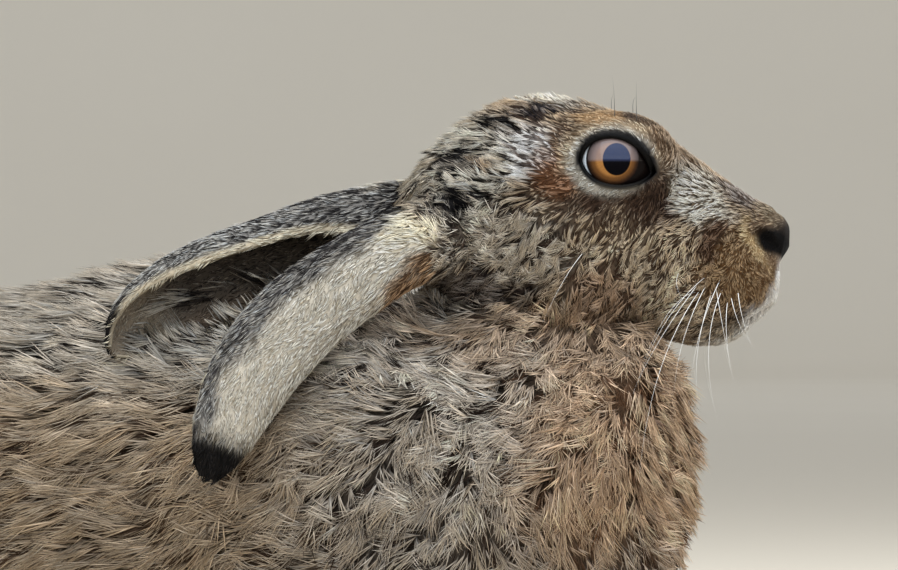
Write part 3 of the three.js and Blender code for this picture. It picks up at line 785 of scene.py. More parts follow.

# Markings of the hide and the coat
# Every hair is banded: dark at the root, pale below the tip. The coat darkens the root further as painted shade deep
# in the hair. A marking gives its pale colour, its dark colour and the share of pale hairs; a few of them paint
# shade, behind the jaw, in the trough of the ear and in the nostril. The hide under the hair is stained with the same
# markings.

SIDE_MARKS = [
    # x, z, half length, half height, lean in degrees, pale, dark, share of pale
    (-44.1, 125, 23.2, 18, 0, (250, 224, 186), (68, 47, 32), 0.66),
    (-84.7, 134.5, 24.6, 12.2, 0, (228, 211, 186), (62, 50, 42), 0.59),
    # Painted shade: a dark patch behind the jaw, where shade falls between the head and the neck.
    (-93.4, 120, 15.1, 7.5, 0, (124, 108, 94), (44, 36, 33), 0.42),
    (-67.3, 111.2, 27.5, 5.4, 0, (250, 206, 164), (92, 66, 48), 0.76),
    (-97.7, 159.8, 18, 16.8, 0, (238, 228, 208), (22, 19, 19), 0.58),
    (-109, 157.7, 4.6, 9.9, 0, (214, 200, 176), (50, 42, 38), 0.6),
    (-91.1, 159.5, 3.5, 2.6, 0, (200, 172, 136), (60, 48, 40), 0.66),
    (-102.7, 161.2, 3.5, 2.6, 0, (196, 172, 140), (60, 50, 42), 0.62),
    (-99.6, 147.6, 9.8, 3.2, 27, (130, 119, 103), (12, 10, 12), 0.16),
    (-97.6, 160.6, 6.5, 3.4, 20, (150, 140, 126), (16, 14, 15), 0.24),
    (-72.4, 177.4, 9.6, 2.2, 7, (116, 102, 94), (20, 16, 20), 0.2),
    (-68.5, 181.2, 16.5, 2.4, -2, (240, 233, 216), (136, 118, 98), 0.85),
    (-76.4, 164.2, 8.6, 7.2, 8, (250, 248, 246), (106, 94, 88), 0.84),
    (-86, 171.6, 5, 3.2, 35, (124, 112, 96), (14, 12, 13), 0.12),
    (-106.5, 139.6, 6, 3, 40, (244, 234, 206), (190, 172, 134), 0.9),
    (-112.5, 128.6, 6.5, 2.4, 42, (196, 148, 94), (76, 54, 35), 0.6),
    (-68.4, 165.3, 1.4, 7.5, 0, (172, 140, 104), (70, 50, 36), 0.5),
    (-56.9, 173.6, 7.4, 2.3, -5, (208, 172, 120), (146, 112, 74), 0.7),
    (-44.9, 172.8, 8, 2.8, -50, (150, 120, 86), (46, 33, 25), 0.38),
    (-69, 155.6, 7.4, 7.4, 0, (176, 119, 66), (86, 53, 30), 0.52),
    (-49.5, 147.2, 15.5, 5.2, 0, (112, 80, 54), (46, 31, 21), 0.38),
    (-37.3, 151.6, 5.8, 5.4, 0, (112, 82, 58), (46, 32, 24), 0.36),
    (-34.8, 165.6, 11.6, 6.4, -37, (160, 130, 92), (80, 60, 41), 0.55),
    (-26.7, 149, 11.6, 6.4, -54, (252, 248, 234), (116, 98, 78), 0.84),
    (-14.5, 151.9, 8.1, 2.9, -31, (166, 152, 140), (82, 68, 60), 0.5),
    (-5.8, 146.1, 4.3, 2.6, -40, (172, 152, 118), (86, 70, 52), 0.5),
    (-16.2, 127.6, 11.6, 12.8, 0, (176, 140, 86), (92, 64, 36), 0.58),
    (-23.2, 137.1, 3.5, 5.8, 0, (134, 96, 60), (60, 40, 26), 0.42),
    (-55.7, 139.7, 12.2, 5.2, 15, (222, 196, 158), (70, 50, 35), 0.58),
    (-54.2, 121.8, 10.4, 8.1, 0, (196, 158, 120), (66, 48, 36), 0.54),
    (-42.6, 131.6, 8.1, 7.5, 0, (226, 202, 166), (66, 46, 32), 0.62),
    (-15.7, 113.1, 5.2, 2.9, 20, (140, 118, 90), (60, 48, 38), 0.42),
    (-11, 137.1, 7.5, 1.7, -59, (224, 202, 154), (160, 130, 88), 0.86),
]
PLAIN = np.array([paint(190, 162, 124), paint(64, 46, 33)])
PLAIN_SHARE = 0.62
WHITER = (0.13, 0.003)
FACE_SIDE = 14
NOSTRIL = (np.array([-4.4, 136.6]), 6.6, 4.0, math.radians(-38))


def wobble(p, size, seed=0):
    """Smooth noise from about -1 to 1, with hills about size across."""
    draw = np.random.default_rng(900 + seed)
    waves = draw.normal(size=(7, 3)) * (math.tau / size / 2.2)
    starts = draw.uniform(0, math.tau, 7)
    return np.sin(p @ waves.T + starts).sum(1) / 2.6


def oval(x, z, at, long, tall, edge=0.45, lean=0.0):
    """1 inside an oval of the side view, 0 outside, with a soft edge."""
    c, s = math.cos(lean), math.sin(lean)
    dx, dz = x - at[0], z - at[1]
    away = np.hypot((dx * c + dz * s) / long, (dz * c - dx * s) / tall)
    return step_between(1 + edge, 1 - edge, away)


class Markings:
    """The pale and the dark hair colour, and the share of pale hairs, at each of a set of places."""

    def __init__(self, tones, share):
        self.tones, self.share = tones, share

    def lay(self, mask, pale, dark, pale_share):
        """Lays one marking over what lies there."""
        mask = np.clip(mask, 0, 1)
        for tone, colour in zip(self.tones, (pale, dark)):
            tone += (np.array(paint(*colour)) - tone) * mask[:, None]
        self.share += (pale_share - self.share) * mask


def outside_lids(p, spread):
    """Distance in the side view outside the edge of the lids, 0 within it."""
    x, z = p[:, 0] - EYE_AT[0], p[:, 2] - EYE_AT[2]
    edge = opening_outline(spread)
    loop = np.vstack([edge, edge[:1]])
    inside = np.zeros(len(x), bool)
    for (ax, az), (bx, bz) in zip(loop, loop[1:]):
        crossed = (az > z) != (bz > z)
        inside ^= crossed & (x < (bx - ax) * (z - az) / (bz - az + 1e-12) + ax)
    return np.where(inside, 0.0, near_line(loop, x, z))


def head_marks(coat, p):
    x, side_y, z = p[:, 0], np.abs(p[:, 1]), p[:, 2]
    on_side = side_y > FACE_SIDE
    shake = p + np.stack([wobble(p, 9, seed) for seed in (1, 2, 3)], 1) * 1.3
    for mx, mz, long, tall, lean, pale, dark, pale_share in SIDE_MARKS:
        patch = oval(shake[:, 0], shake[:, 2], (mx, mz), long, tall, lean=math.radians(lean))
        coat.lay(patch, pale, dark, pale_share)
    round_eye = oval(shake[:, 0], shake[:, 2], (-53.6, 161.2), 14.2, 11.2, 0.2, 0.06) * on_side
    coat.lay(round_eye * step_between(154, 162, z), (232, 214, 180), (124, 104, 80), 0.8)
    ring = oval(x + 0.5 * wobble(p, 3, 10), z, (-52.8, 160.7), 12.9, 10.1, 0.14, 0.05) * on_side
    coat.lay(ring, (242, 240, 232), (150, 144, 132), 0.82)
    lashes = step_between(1.5, 0.6, outside_lids(p, 1.6)) * on_side * step_between(-7, 0, z - EYE_AT[2])
    coat.lay(lashes, (110, 104, 98), (22, 19, 19), 0.3)
    chin = oval(x, z, (-14, 109.5), 12, 4.5)
    coat.lay(chin, (192, 172, 140), (100, 84, 66), 0.6)
    middle = step_between(8, 4.5, side_y) * step_between(-34, -24, x)
    coat.lay(chin * middle, (250, 248, 244), (206, 200, 190), 0.95)
    wide = 5 + 6.5 * step_between(134, 121, z) + 0.8 * wobble(p, 4, 8)
    lips = step_between(wide + 3.2, wide - 1.6, side_y) * step_between(-15, -12, x) * step_between(134.5, 130, z)
    coat.lay(lips, (252, 251, 250), (214, 210, 206), 0.97)
    throat = step_between(112.5, 108, z) * step_between(-30, -45, x)
    coat.lay(throat * step_between(12, 6, side_y), (214, 196, 168), (120, 96, 74), 0.7)
    tip = oval(x, z, (-0.8, 138.5), 4.4, 5.4, 0.5)
    coat.lay(tip, (70, 58, 47), (22, 18, 16), 0.3)
    # The nostril is painted near black: partly the dark bare skin of the slit and partly painted shade in its hollow.
    nostril = oval(x, z, *NOSTRIL[:3], 0.25, NOSTRIL[3]) * step_between(2.5, 5, side_y + 0.7 * (138 - z))
    nostril *= step_between(-0.9, 0.9, z - 131 - 0.42 * side_y)
    coat.lay(nostril, (30, 25, 22), (8, 7, 7), 0.3)


def trunk_marks(coat, p):
    """P is in the straight body."""
    x, side_y, z = p[:, 0], np.abs(p[:, 1]), p[:, 2] + 5 * wobble(p, 26, 4)
    coat.lay(np.ones(len(x)), (206, 180, 146), (78, 60, 46), 0.6)
    coat.lay(step_between(82, 112, z), (216, 204, 186), (40, 34, 31), 0.6)
    front = step_between(-150, -105, x)
    coat.lay(front * 0.9, (230, 215, 196), (50, 39, 33), 0.66)
    throat = step_between(-76, -48, x) * step_between(24, 56, z)
    coat.lay(throat * 0.9, (240, 199, 156), (112, 82, 60), 0.7)
    jaw = oval(x, z, (-62, 112), 42, 10)
    coat.lay(jaw * 0.85, (222, 186, 148), (64, 48, 37), 0.66)
    haunch = oval(x, z, (-330, 72), 70, 48, 0.5) * step_between(30, 50, side_y)
    coat.lay(haunch * 0.7, (188, 160, 124), (74, 58, 46), 0.58)
    rump = step_between(-350, -410, x)
    coat.lay(rump * 0.75, (178, 164, 142), (62, 54, 48), 0.55)
    belly = step_between(26, 14, p[:, 2]) * step_between(52, 38, side_y)
    coat.lay(belly, (244, 240, 232), (206, 198, 186), 0.95)


def leg_marks(coat, p):
    side_y, z = np.abs(p[:, 1]), p[:, 2]
    coat.lay(np.ones(len(z)), (214, 186, 148), (132, 102, 74), 0.72)
    coat.lay(step_between(9, 4, z) * 0.7, (226, 208, 178), (150, 124, 96), 0.8)


def tail_marks(coat, p, normal):
    coat.lay(np.ones(len(p)), (34, 29, 27), (14, 12, 12), 0.5)
    across = normal[:, 2] * 0.85 - normal[:, 0] * 0.5 + 0.1 * wobble(p, 12, 5)
    under = step_between(0.15, -0.15, across)
    coat.lay(under, (250, 247, 240), (222, 216, 206), 1.0)


def ear_place(name, p):
    """Share along an ear, distance across it, and the frame there, for points on it."""
    shares = np.linspace(0, 1, 90)
    centre = ear_frame(name, shares)[0]
    nearest = np.array([((centre - point) ** 2).sum(1).argmin() for point in p])
    t = shares[nearest]
    centre, ahead, opening, across = ear_frame(name, t)
    away = p - centre
    return t, (away * across).sum(1), (away * opening).sum(1), ahead, opening, across


def on_back(name, t, p, normal):
    """Whether places on an ear are on its outer side."""
    return ((p - ear_frame(name, t)[0]) * normal).sum(1) > 0


def towards_edge(t, width, depth):
    """0 along the middle of an ear and 1 at its two edges."""
    return np.abs(np.degrees(np.arctan2(width, -depth)) * 2 / ear_curl(t))


def ear_marks(name, coat, p, normal):
    t, width, depth, ahead, opening, across = ear_place(name, p)
    back = on_back(name, t, p, normal)
    high = ((across * width[:, None])[:, 2] + 0.8 * wobble(p, 8, 6)) / ear_radius(name, t)
    edge = towards_edge(t, width, depth)
    shaken = t + 0.025 * wobble(p, 7, 7)
    coat.lay(np.ones(len(p)), (250, 247, 238), (178, 168, 150), 0.85)
    pale, dark = ((236, 234, 228), (24, 22, 24)) if name == "left" else ((208, 206, 200), (52, 49, 50))
    coat.lay(back * step_between(0.1, 0.45, high), pale, dark, 0.5)
    smoke = oval(shaken, high, (0.3, 0.7), 0.2, 0.6)
    coat.lay(back * smoke * 0.8, (176, 172, 166), (40, 37, 38), 0.42)
    coat.lay(~back * 1.0, (156, 132, 104), (74, 60, 48), 0.5)
    # Painted shade: inside the ear the middle of the trough is painted darker, where shade lies in the hollow.
    coat.lay(~back * step_between(0.8, 0.45, edge), (128, 112, 92), (44, 38, 34), 0.42)
    coat.lay(~back * step_between(0.72, 0.86, t), (176, 164, 142), (112, 98, 82), 0.6)
    coat.lay(step_between(0.88, 0.95, edge), (228, 220, 198), (152, 138, 114), 0.84)
    coat.lay(step_between(0.9, 0.95, t) * back, (36, 31, 30), (14, 12, 12), 0.3)
    coat.lay(step_between(0.1, 0.02, t) * back, (190, 170, 140), (74, 60, 50), 0.5)
    coat.lay(oval(shaken, high, (0.12, -0.1), 0.1, 0.4) * back, (250, 243, 222), (206, 192, 160), 0.92)
    coat.lay(oval(shaken, high, (0.17, -0.95), 0.15, 0.24) * back, (196, 150, 98), (84, 60, 40), 0.6)
    coat.lay(oval(shaken, high, (0.05, 0.55), 0.12, 0.42) * back, (124, 116, 104), (14, 12, 12), 0.18)


def coat_marks(p, part, normal):
    """Pale and dark hair colours and the share of pale hairs, for places at the outside of the coat.

    Light that passes from hair to hair deepens their colour, so the paint is a little whiter than it looks.
    """
    tones = [np.tile(tone, (len(p), 1)) for tone in PLAIN]
    share = np.full(len(p), PLAIN_SHARE)
    straight = turn_body(p, -1)
    markers = [
        (head_marks, p),
        (trunk_marks, straight),
        (partial(ear_marks, "right"), p, normal),
        (partial(ear_marks, "left"), p, normal),
        (leg_marks, straight),
        (leg_marks, straight),
        (tail_marks, straight, turn_only(normal, -1)),
    ]
    for index, (marker, *fields) in enumerate(markers):
        here = part == index
        if here.any():
            coat = Markings([tone[here] for tone in tones], share[here])
            marker(coat, *(field[here] for field in fields))
            tones[0][here], tones[1][here], share[here] = *coat.tones, coat.share
    brightness = [np.minimum(1, tone.mean(1) / 0.2)[:, None] for tone in tones]
    return [tone + (1 - tone) * b * lift for tone, b, lift in zip(tones, brightness, WHITER)], share


skin_mesh = new_mesh("skin", skin_form)
count = len(skin_mesh.vertices)
flat = np.empty(count * 3)
skin_mesh.vertices.foreach_get("co", flat)
skin_points = flat.reshape(-1, 3).copy()
skin_mesh.vertices.foreach_get("normal", flat)
skin_normals = flat.reshape(-1, 3).copy()
skin_parts = np.array([nearest_skin.find(p)[1] for p in skin_points])
for name in EARS:
    on_ear = np.flatnonzero(skin_parts == PARTS.index(f"ear_{name}"))
    skin_parts[on_ear[ear_place(name, skin_points[on_ear])[0] < 0.085]] = PARTS.index("head")
skin_mesh.vertices.foreach_set("co", to_frame(skin_points).ravel())


def store_colour(mesh, name, colours):
    layer = mesh.attributes.new(name, "FLOAT_COLOR", "POINT")
    layer.data.foreach_set("color", np.hstack([colours, np.ones((len(colours), 1))]).astype(np.float32).ravel())


def rim_of(p):
    """1 on the bare rim of the lids, which is narrower under the eye."""
    below = step_between(-3, -8, p[:, 2] - EYE_AT[2])
    return step_between(1.3 - 0.5 * below, 0.1 - 0.2 * below, outside_lids(p, 1.35)) * (np.abs(p[:, 1]) > FACE_SIDE)


(skin_pale, skin_dark), _ = coat_marks(skin_points, skin_parts, skin_normals)
in_ears = np.isin(skin_parts, [PARTS.index(f"ear_{name}") for name in EARS])[:, None]
skin_tone = skin_dark * 0.6 + skin_pale * np.where(in_ears, 0.2, 0.09)
rim = rim_of(skin_points)[:, None] * (skin_parts == 0)[:, None]
skin_tone = skin_tone * (1 - rim) + np.array(paint(2, 1, 1)) * rim
store_colour(skin_mesh, "marks", skin_tone)
rim_layer = skin_mesh.attributes.new("rim", "FLOAT", "POINT")
rim_layer.data.foreach_set("value", rim.ravel().astype(np.float32))

HIDE_BUMPS = 0.0004

hide = Shader("hide")
marks = hide.add("Attribute", {"attribute_name": "marks"})
bare = hide.add("Attribute", {"attribute_name": "rim"}, out=2)
fine = hide.noise(1400, 3.0, 0.6)
coarse = hide.noise(240, 3.0)
mottle = hide.blend(fine * 0.6 + coarse * 0.5, (0.55, 0.52, 0.5, 1), (1.35, 1.3, 1.25, 1))
tone = hide.blend(1.0, marks, mottle, "MULTIPLY")
relief = hide.bump(fine + coarse * 1.5, 0.5, HIDE_BUMPS)
hide_material = hide.finish(
    Base_Color=tone, Roughness=0.85 - bare * 0.4, Normal=relief, Specular_IOR_Level=0.08
)
skin = new_object("skin", skin_mesh, hide_material)
FLESH = ["head", "nose", "neck", "chest", "loins", "rump", "tail"]
for side in ("right", "left"):
    FLESH += [f"{part}_{side}" for part in ("ear", "eyelids", "foreleg", "forepaw", "haunch", "hind_foot")]
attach(skin, "root")
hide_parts(*FLESH)

# The eyes
# Glossy balls set under the lids, with a golden iris, a tall pupil that looks straight out sideways and a clear
# wet cover that mirrors the window. Over the upper half of the iris and the pupil that reflection is also painted in.

IRIS_AT = (-52.1, 161.3)
IRIS_RADIUS = 7.4
PUPIL_AT = (-51.1, 161.3)
PUPIL_HALF = (3.95, 4.6)
MIRRORED_GROUND = -0.0009
WET_SHARE = 0.34

eye = Shader("eye")
place = eye.add("SeparateXYZ", {}, {"Vector": eye.place()})
across, up = place, Value(eye, place.socket.node.outputs[2])


def ring_distance(at, half_x, half_z):
    x0, _, z0 = to_frame((at[0], 0, at[1]))
    dx = (across - float(x0)) / (half_x * MM)
    dz = (up - float(z0)) / (half_z * MM)
    return (dx * dx + dz * dz) ** 0.5


iris_away = ring_distance(IRIS_AT, IRIS_RADIUS, IRIS_RADIUS)
pupil_away = ring_distance(PUPIL_AT, *PUPIL_HALF)
x0, _, z0 = to_frame((PUPIL_AT[0], 0, PUPIL_AT[1]))
over_middle = up - float(z0)
spokes = over_middle.maths("ARCTAN2", over_middle, across - float(x0))
spoke_place = eye.add("CombineXYZ", {}, {"X": spokes * 9.0, "Y": iris_away * 1.2})
streaks = eye.noise(2.2, 4.0, 0.6, spoke_place)
gold = eye.blend(streaks, (122, 80, 38), (164, 114, 62))
brown = eye.blend(streaks, (80, 50, 25), (112, 74, 38))
rust = eye.blend(streaks, (36, 22, 13), (58, 36, 21))
iris = eye.blend(iris_away.band(0.6, 0.76), gold, brown)
iris = eye.blend(iris_away.band(0.78, 0.98), iris, rust)
# Painted reflection: above the line of the mirrored ground the iris is painted mauve-grey, for the window seen in the
# wet cover.
upper = over_middle.band(MIRRORED_GROUND, 0.0002)
iris = eye.blend(upper * 0.66, iris, (122, 112, 114))
# The outer edge of the iris is darkened: its own dark rim, and over the painted reflection painted shade from the
# upper lid.
iris = eye.blend(iris_away.band(0.7, 1.02) * 0.55, iris, (34, 22, 17))
white = eye.blend(eye.noise(900, 2.0), (206, 212, 218), (232, 236, 240))
behind = (across - float(to_frame((IRIS_AT[0], 0, IRIS_AT[1]))[0])).band(0.002, -0.002)
ball = eye.blend(iris_away.band(0.95, 1.03), iris, (14, 9, 8))
ball = eye.blend(iris_away.band(1.03, 1.08) * behind, ball, white)
# Painted reflection: the upper half of the pupil is painted blue, for the window seen in the wet cover.
pupil = eye.blend(upper, (3, 2, 5), (10, 26, 62))
ball = eye.blend(pupil_away.band(1.06, 0.98), ball, pupil)
wet = over_middle.band(MIRRORED_GROUND, -0.0001) * WET_SHARE
eye_material = eye.finish(
    Base_Color=ball, Roughness=0.3, Specular_IOR_Level=0.04, Coat_Weight=wet, Coat_Roughness=0.02, Coat_IOR=1.7
)
for name, side in (("right", -1), ("left", 1)):
    form = ball_form(side, 0.0)
    soften(form)
    move(form, to_frame([v.co for v in form.verts]))
    eyeball = new_object(f"eyeball_{name}", new_mesh(f"eyeball_{name}", form), eye_material)
    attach(eyeball, "root")
    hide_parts(f"eye_{name}")

# The claws
# Four on each foot, of dark horn, curved down to the floor. Each grows out of the end of its toe and is half hidden
# in the toe's hair.

CLAW_LENGTH = 9.5
CLAW_RADIUS = 1.45
CLAW_TIP = 0.12
CLAW_CURVE = 2.2

claw_form = bmesh.new()
for side in (-1, 1):
    for toes in (FORE_TOES, HIND_TOES):
        for x, y, z in toe_places(side, **toes):
            ends = {"radius1": CLAW_RADIUS, "radius2": CLAW_TIP, "depth": CLAW_LENGTH}
            made = bmesh.ops.create_cone(claw_form, cap_ends=True, segments=10, **ends)["verts"]
            for vertex in made:
                t = vertex.co.z / CLAW_LENGTH + 0.5
                vertex.co = (vertex.co.z, vertex.co.y * 0.8, -vertex.co.x - CLAW_CURVE * t * t)
            root = np.array([x + toes["reach"] * 0.86, y, toes["at"][2] - 0.4])
            for vertex, at in zip(made, turn_body([np.array(v.co) + root for v in made])):
                vertex.co = to_frame([at[0], at[1], max(at[2], 0.15)])
bmesh.ops.recalc_face_normals(claw_form, faces=claw_form.faces)
for face in claw_form.faces:
    face.smooth = len(face.verts) == 4
horn = Shader("horn")
grain = horn.noise(1800, 3.0)
tone = horn.blend(grain, (38, 30, 26), (92, 76, 64))
claws = new_object("claws", new_mesh("claws", claw_form), horn.finish(Base_Color=tone, Roughness=0.4))
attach(claws, "root")

# The coat
# Fur over the whole hide, in thin tufts that lie along the body with their tips out at the hare's outline. They are
# finest on the face and feet, and long and loose on the neck, back and flanks. Each tuft is a closed sliver.

TINY = 1e-9
BARE_FROM = 0.35

skin_mesh.calc_loop_triangles()
flat = np.empty(len(skin_mesh.loop_triangles) * 3, np.int32)
skin_mesh.loop_triangles.foreach_get("vertices", flat)
hide_triangles = flat.reshape(-1, 3)
corners = skin_points[hide_triangles]
hide_areas = np.linalg.norm(np.cross(corners[:, 1] - corners[:, 0], corners[:, 2] - corners[:, 0]), axis=1) / 2
hide_middles = corners.mean(1)
hide_part = np.array([np.bincount(three).argmax() for three in skin_parts[hide_triangles]])
hide_bare = rim[hide_triangles].min((1, 2)) > BARE_FROM


def unit(vectors):
    return vectors / (np.linalg.norm(vectors, axis=1)[:, None] + TINY)


def roots_on(weight, count, seed):
    """Roots spread over the hide, with their normals and parts. Weight gives how thickly each place is covered."""
    draw = np.random.default_rng(seed)
    ladder = np.cumsum(hide_areas * weight * ~hide_bare)
    at = (np.arange(count) + draw.uniform(0, 1, count)) / count * ladder[-1]
    chosen = np.minimum(np.searchsorted(ladder, at), len(ladder) - 1)
    a, b = draw.uniform(0, 1, (2, count))
    folded = a + b > 1
    a, b = np.where(folded, 1 - a, a), np.where(folded, 1 - b, b)
    shares = np.stack([1 - a - b, a, b], 1)[:, :, None]
    places = (skin_points[hide_triangles[chosen]] * shares).sum(1)
    normals = unit((skin_normals[hide_triangles[chosen]] * shares).sum(1))
    order = draw.permutation(count)
    return places[order], normals[order], hide_part[chosen][order]


skin_tree = kdtree.KDTree(len(skin_points))
for i, place in enumerate(skin_points):
    skin_tree.insert(place, i)
skin_tree.balance()


def above_hide(p):
    """Height of points over the nearest part of the hide."""
    found = np.array([skin_tree.find(place)[1] for place in p])
    return ((p - skin_points[found]) * skin_normals[found]).sum(1)


def in_ear(name, p):
    """1 for points inside the round of an ear, 0 outside it."""
    shares = np.linspace(0, 1, 60)
    centre = ear_frame(name, shares)[0]
    away = np.linalg.norm(p[:, None] - centre, axis=2) - ear_radius(name, shares) - EAR_HIDE
    return step_between(2.5, 0.0, away.min(1))


HEAD_HAIR_LENGTH = ([-117, -104, -92, -76, -60, -40, -25, -10, 0], [6.2, 7.4, 7.4, 6.8, 6.0, 5.2, 4.2, 2.8, 1.9])


def head_hair(p, normal):
    """Lie, length, width, standing height and looseness of the hair of the head."""
    x, y, z = p.T
    side = np.sign(y)
    fall = np.clip((z - 152) / 20, -1.9, 0.5)
    lie = np.stack([-np.ones(len(x)), 0.15 * side, fall], 1)
    lie[:, 2] -= 1.1 * oval(x, z, (-52, 130), 20, 16, 0.5)
    lip = step_between(-26, -10, x) * step_between(140, 128, z)
    lie += np.stack([0.45 * lip, 0 * x, -1.1 * lip], 1)
    nape = step_between(-100, -114, x)
    lie += np.stack([0.5 * nape, 0 * x, -0.8 * nape], 1)
    away = from_eye(p)
    from_middle = unit(np.stack([x - EYE_AT[0], 0 * x, z - EYE_AT[2]], 1))
    near = step_between(22, 15, away)[:, None]
    towards = np.minimum((lie * from_middle).sum(1), 0)[:, None]
    lie += from_middle * near * (0.55 - towards)
    length = np.interp(x, *HEAD_HAIR_LENGTH)
    length += 3.0 * step_between(130, 114, z) * step_between(-38, -62, x)
    length = np.minimum(length, 1.7 + 0.35 * np.maximum(away - (LIDS_END + 0.5), 0))
    nose = oval(x, z, NOSTRIL[0], NOSTRIL[1] + 1, NOSTRIL[2] + 1, 0.3, NOSTRIL[3])
    length *= 1 - 0.62 * nose
    height = np.interp(x, *HEAD_COAT)
    height = np.minimum(height, 0.6 + 0.17 * np.maximum(away - LIDS_END, 0)) * (1 - 0.5 * nose)
    at_ear = np.maximum(in_ear("right", p), in_ear("left", p))
    height *= 1 - 0.6 * at_ear
    height *= 1 + 0.35 * step_between(-50, -62, x) * step_between(-98, -88, x) - 0.3 * step_between(-96, -106, x)
    width = 0.17 + 0.033 * length
    cheek = step_between(152, 144, z) * step_between(24, 30, away) * step_between(-16, -24, x)
    pad = oval(x, z, (-17, 127), 13, 14)
    length *= 1 - 0.3 * pad
    loose = 0.12 + 0.012 * length + 0.26 * cheek + 0.3 * pad + 0.12 * step_between(-72, -84, x)
    return lie, length, width, height, loose


TRUNK_HAIR_STEEP = ([-436, -400, -340, -200, -110, -70, -40], [1.2, 0.8, 0.45, 0.3, 0.7, 1.3, 1.9])
TRUNK_HAIR_LENGTH = ([-436, -380, -250, -150, -90, -40], [17, 20, 20, 17, 14, 13])
TRUNK_HAIR_WIDTH = ([-280, -235, -150, -130], [1.0, 0.74, 0.6, 0.44])


def trunk_hair(p, normal):
    straight = turn_body(p, -1)
    x, y, z = straight.T
    side = np.clip(y / 30, -1, 1)
    steep = np.interp(x, *TRUNK_HAIR_STEEP)
    facing = turn_only(normal, -1)[:, 0]
    forward = 1.3 * step_between(0.15, 0.6, facing) * step_between(-120, -90, x)
    lie = np.stack([forward - 1, 0.1 * side, -steep * step_between(128, 90, z)], 1)
    belly = step_between(24, 12, z)
    length = np.interp(x, *TRUNK_HAIR_LENGTH) * (1 - 0.3 * belly)
    height = trunk_coat_depth(straight)
    length = np.minimum(length, 7 + height * 1.4)
    tips = p + unit(turn_only(lie)) * length[:, None] * 0.8 + normal * (height * 0.6)[:, None]
    length = length * (1 - 0.7 * np.maximum(in_ear("right", tips), in_ear("left", tips)))
    front = step_between(-190, -130, x)
    width = np.interp(x, *TRUNK_HAIR_WIDTH)
    loose = 0.2 + 0.26 * front
    return turn_only(lie), length, width, height, loose


def leg_hair(p, normal):
    straight = turn_body(p, -1)
    x, y, z = straight.T
    lie = np.stack([np.ones(len(x)), 0 * x, -0.25 + 0 * x], 1)
    toe = np.maximum(step_between(-40, -18, x), step_between(-290, -264, x) * (x < -200))
    length = 8.5 - 3.6 * toe - 1.5 * step_between(-110, -60, x) * (x > -200)
    return turn_only(lie), length, 0.26 + 0.05 * length, 2.5 - 1.2 * toe, 0.2 + 0.15 * toe


def ear_hair(name):
    def hair(p, normal):
        t, width, depth, ahead, opening, across = ear_place(name, p)
        back = on_back(name, t, p, normal)
        high = (across * width[:, None])[:, 2] / ear_radius(name, t)
        edge = towards_edge(t, width, depth)
        tuft = oval(t, high, (0.08, 0.05), 0.1, 0.5) * back
        length = np.where(back, 4.6 - 1.8 * t, 3.2 - 1.2 * t) + 0.9 * step_between(0.9, 0.98, edge)
        length += 3.0 * step_between(0.16, 0.05, t) * back + 2.5 * tuft
        height = np.where(back, 1.1, 0.6) + 0.9 * step_between(0.16, 0.0, t) * back + 0.8 * tuft
        height *= 1 - 0.5 * step_between(0.85, 0.97, edge)
        return ahead + 0 * p, length, 0.2 + 0.05 * length, height, 0.16 + 0.2 * tuft

    return hair


def tail_hair(p, normal):
    lie = turn_only(np.tile([-0.8, 0.0, -0.55], (len(p), 1)))
    length = 15 + 3 * wobble(p, 20, 9)
    return lie, length, np.full(len(p), 0.9), np.full(len(p), 4.6), np.full(len(p), 0.3)


HAIR = [head_hair, trunk_hair, ear_hair("right"), ear_hair("left"), leg_hair, leg_hair, tail_hair]
UNWRAP_LINES = {1: [(-27, 0, 70), (-436, 0, 70)], 4: fore_arm(1) + fore_paw(1)[1:], 5: hind_foot(1), 6: TAIL}


def unwrap(p, part, normal):
    """Where each place on the hide lies when its part is slit along one side and laid flat, and in which strip."""
    along, around, strip = np.zeros(len(p)), np.zeros(len(p)), np.zeros(len(p), int)
    straight = turn_body(p, -1)
    for index in np.unique(part):
        here = part == index
        q, s = p[here], straight[here]
        if index == 0:
            along[here] = -q[:, 0] / 117
            around[here] = np.arctan2(q[:, 2] - head_axis(q[:, 0]), q[:, 1])
        elif index in (2, 3):
            name = PARTS[index].split("_")[1]
            t, width, depth, *_ = ear_place(name, q)
            along[here] = t
            outer = np.where(on_back(name, t, q, normal[here]), -1, 1)
            around[here] = outer * (math.pi / 2 + 0.42 * np.arctan2(width, -depth))
            strip[here] = index
        else:
            line = np.array(sorted(station[:3] for station in UNWRAP_LINES[index]))
            side = np.where((index in (4, 5)) & (s[:, 1] < 0), -1, 1)
            y = np.interp(s[:, 0], line[:, 0], line[:, 1]) * side
            along[here] = -s[:, 0] / 480
            around[here] = np.arctan2(s[:, 2] - np.interp(s[:, 0], line[:, 0], line[:, 2]), s[:, 1] - y)
            strip[here] = index * 2 + (side < 0)
    return along, around / math.tau + 0.5, strip


ROOT_DEPTH = 0.25
FLOOR_GAP = 0.12
ROOT_BAND_AND_SHADE = 0.45
LOCK = 7
LOCK_SLIM = 0.24
PATCH = 0.0015
RING_AT = {False: 0.42, True: 0.36}
SPLAY = np.array([0.0, 1.0, -1.0])


def tuft_faces(forked):
    """A sliver from its root (0) over a ring (1 to 3) to its tip (4), or to a middle (4) with three tips round it."""
    faces = []
    for j in range(3):
        a, b = 1 + j, 1 + (j + 1) % 3
        faces.append((0, b, a))
        if forked:
            faces += [(a, b, 5 + j), (b, 4, 5 + j), (4, a, 5 + j)]
        else:
            faces.append((a, b, 4))
    return np.array(faces)


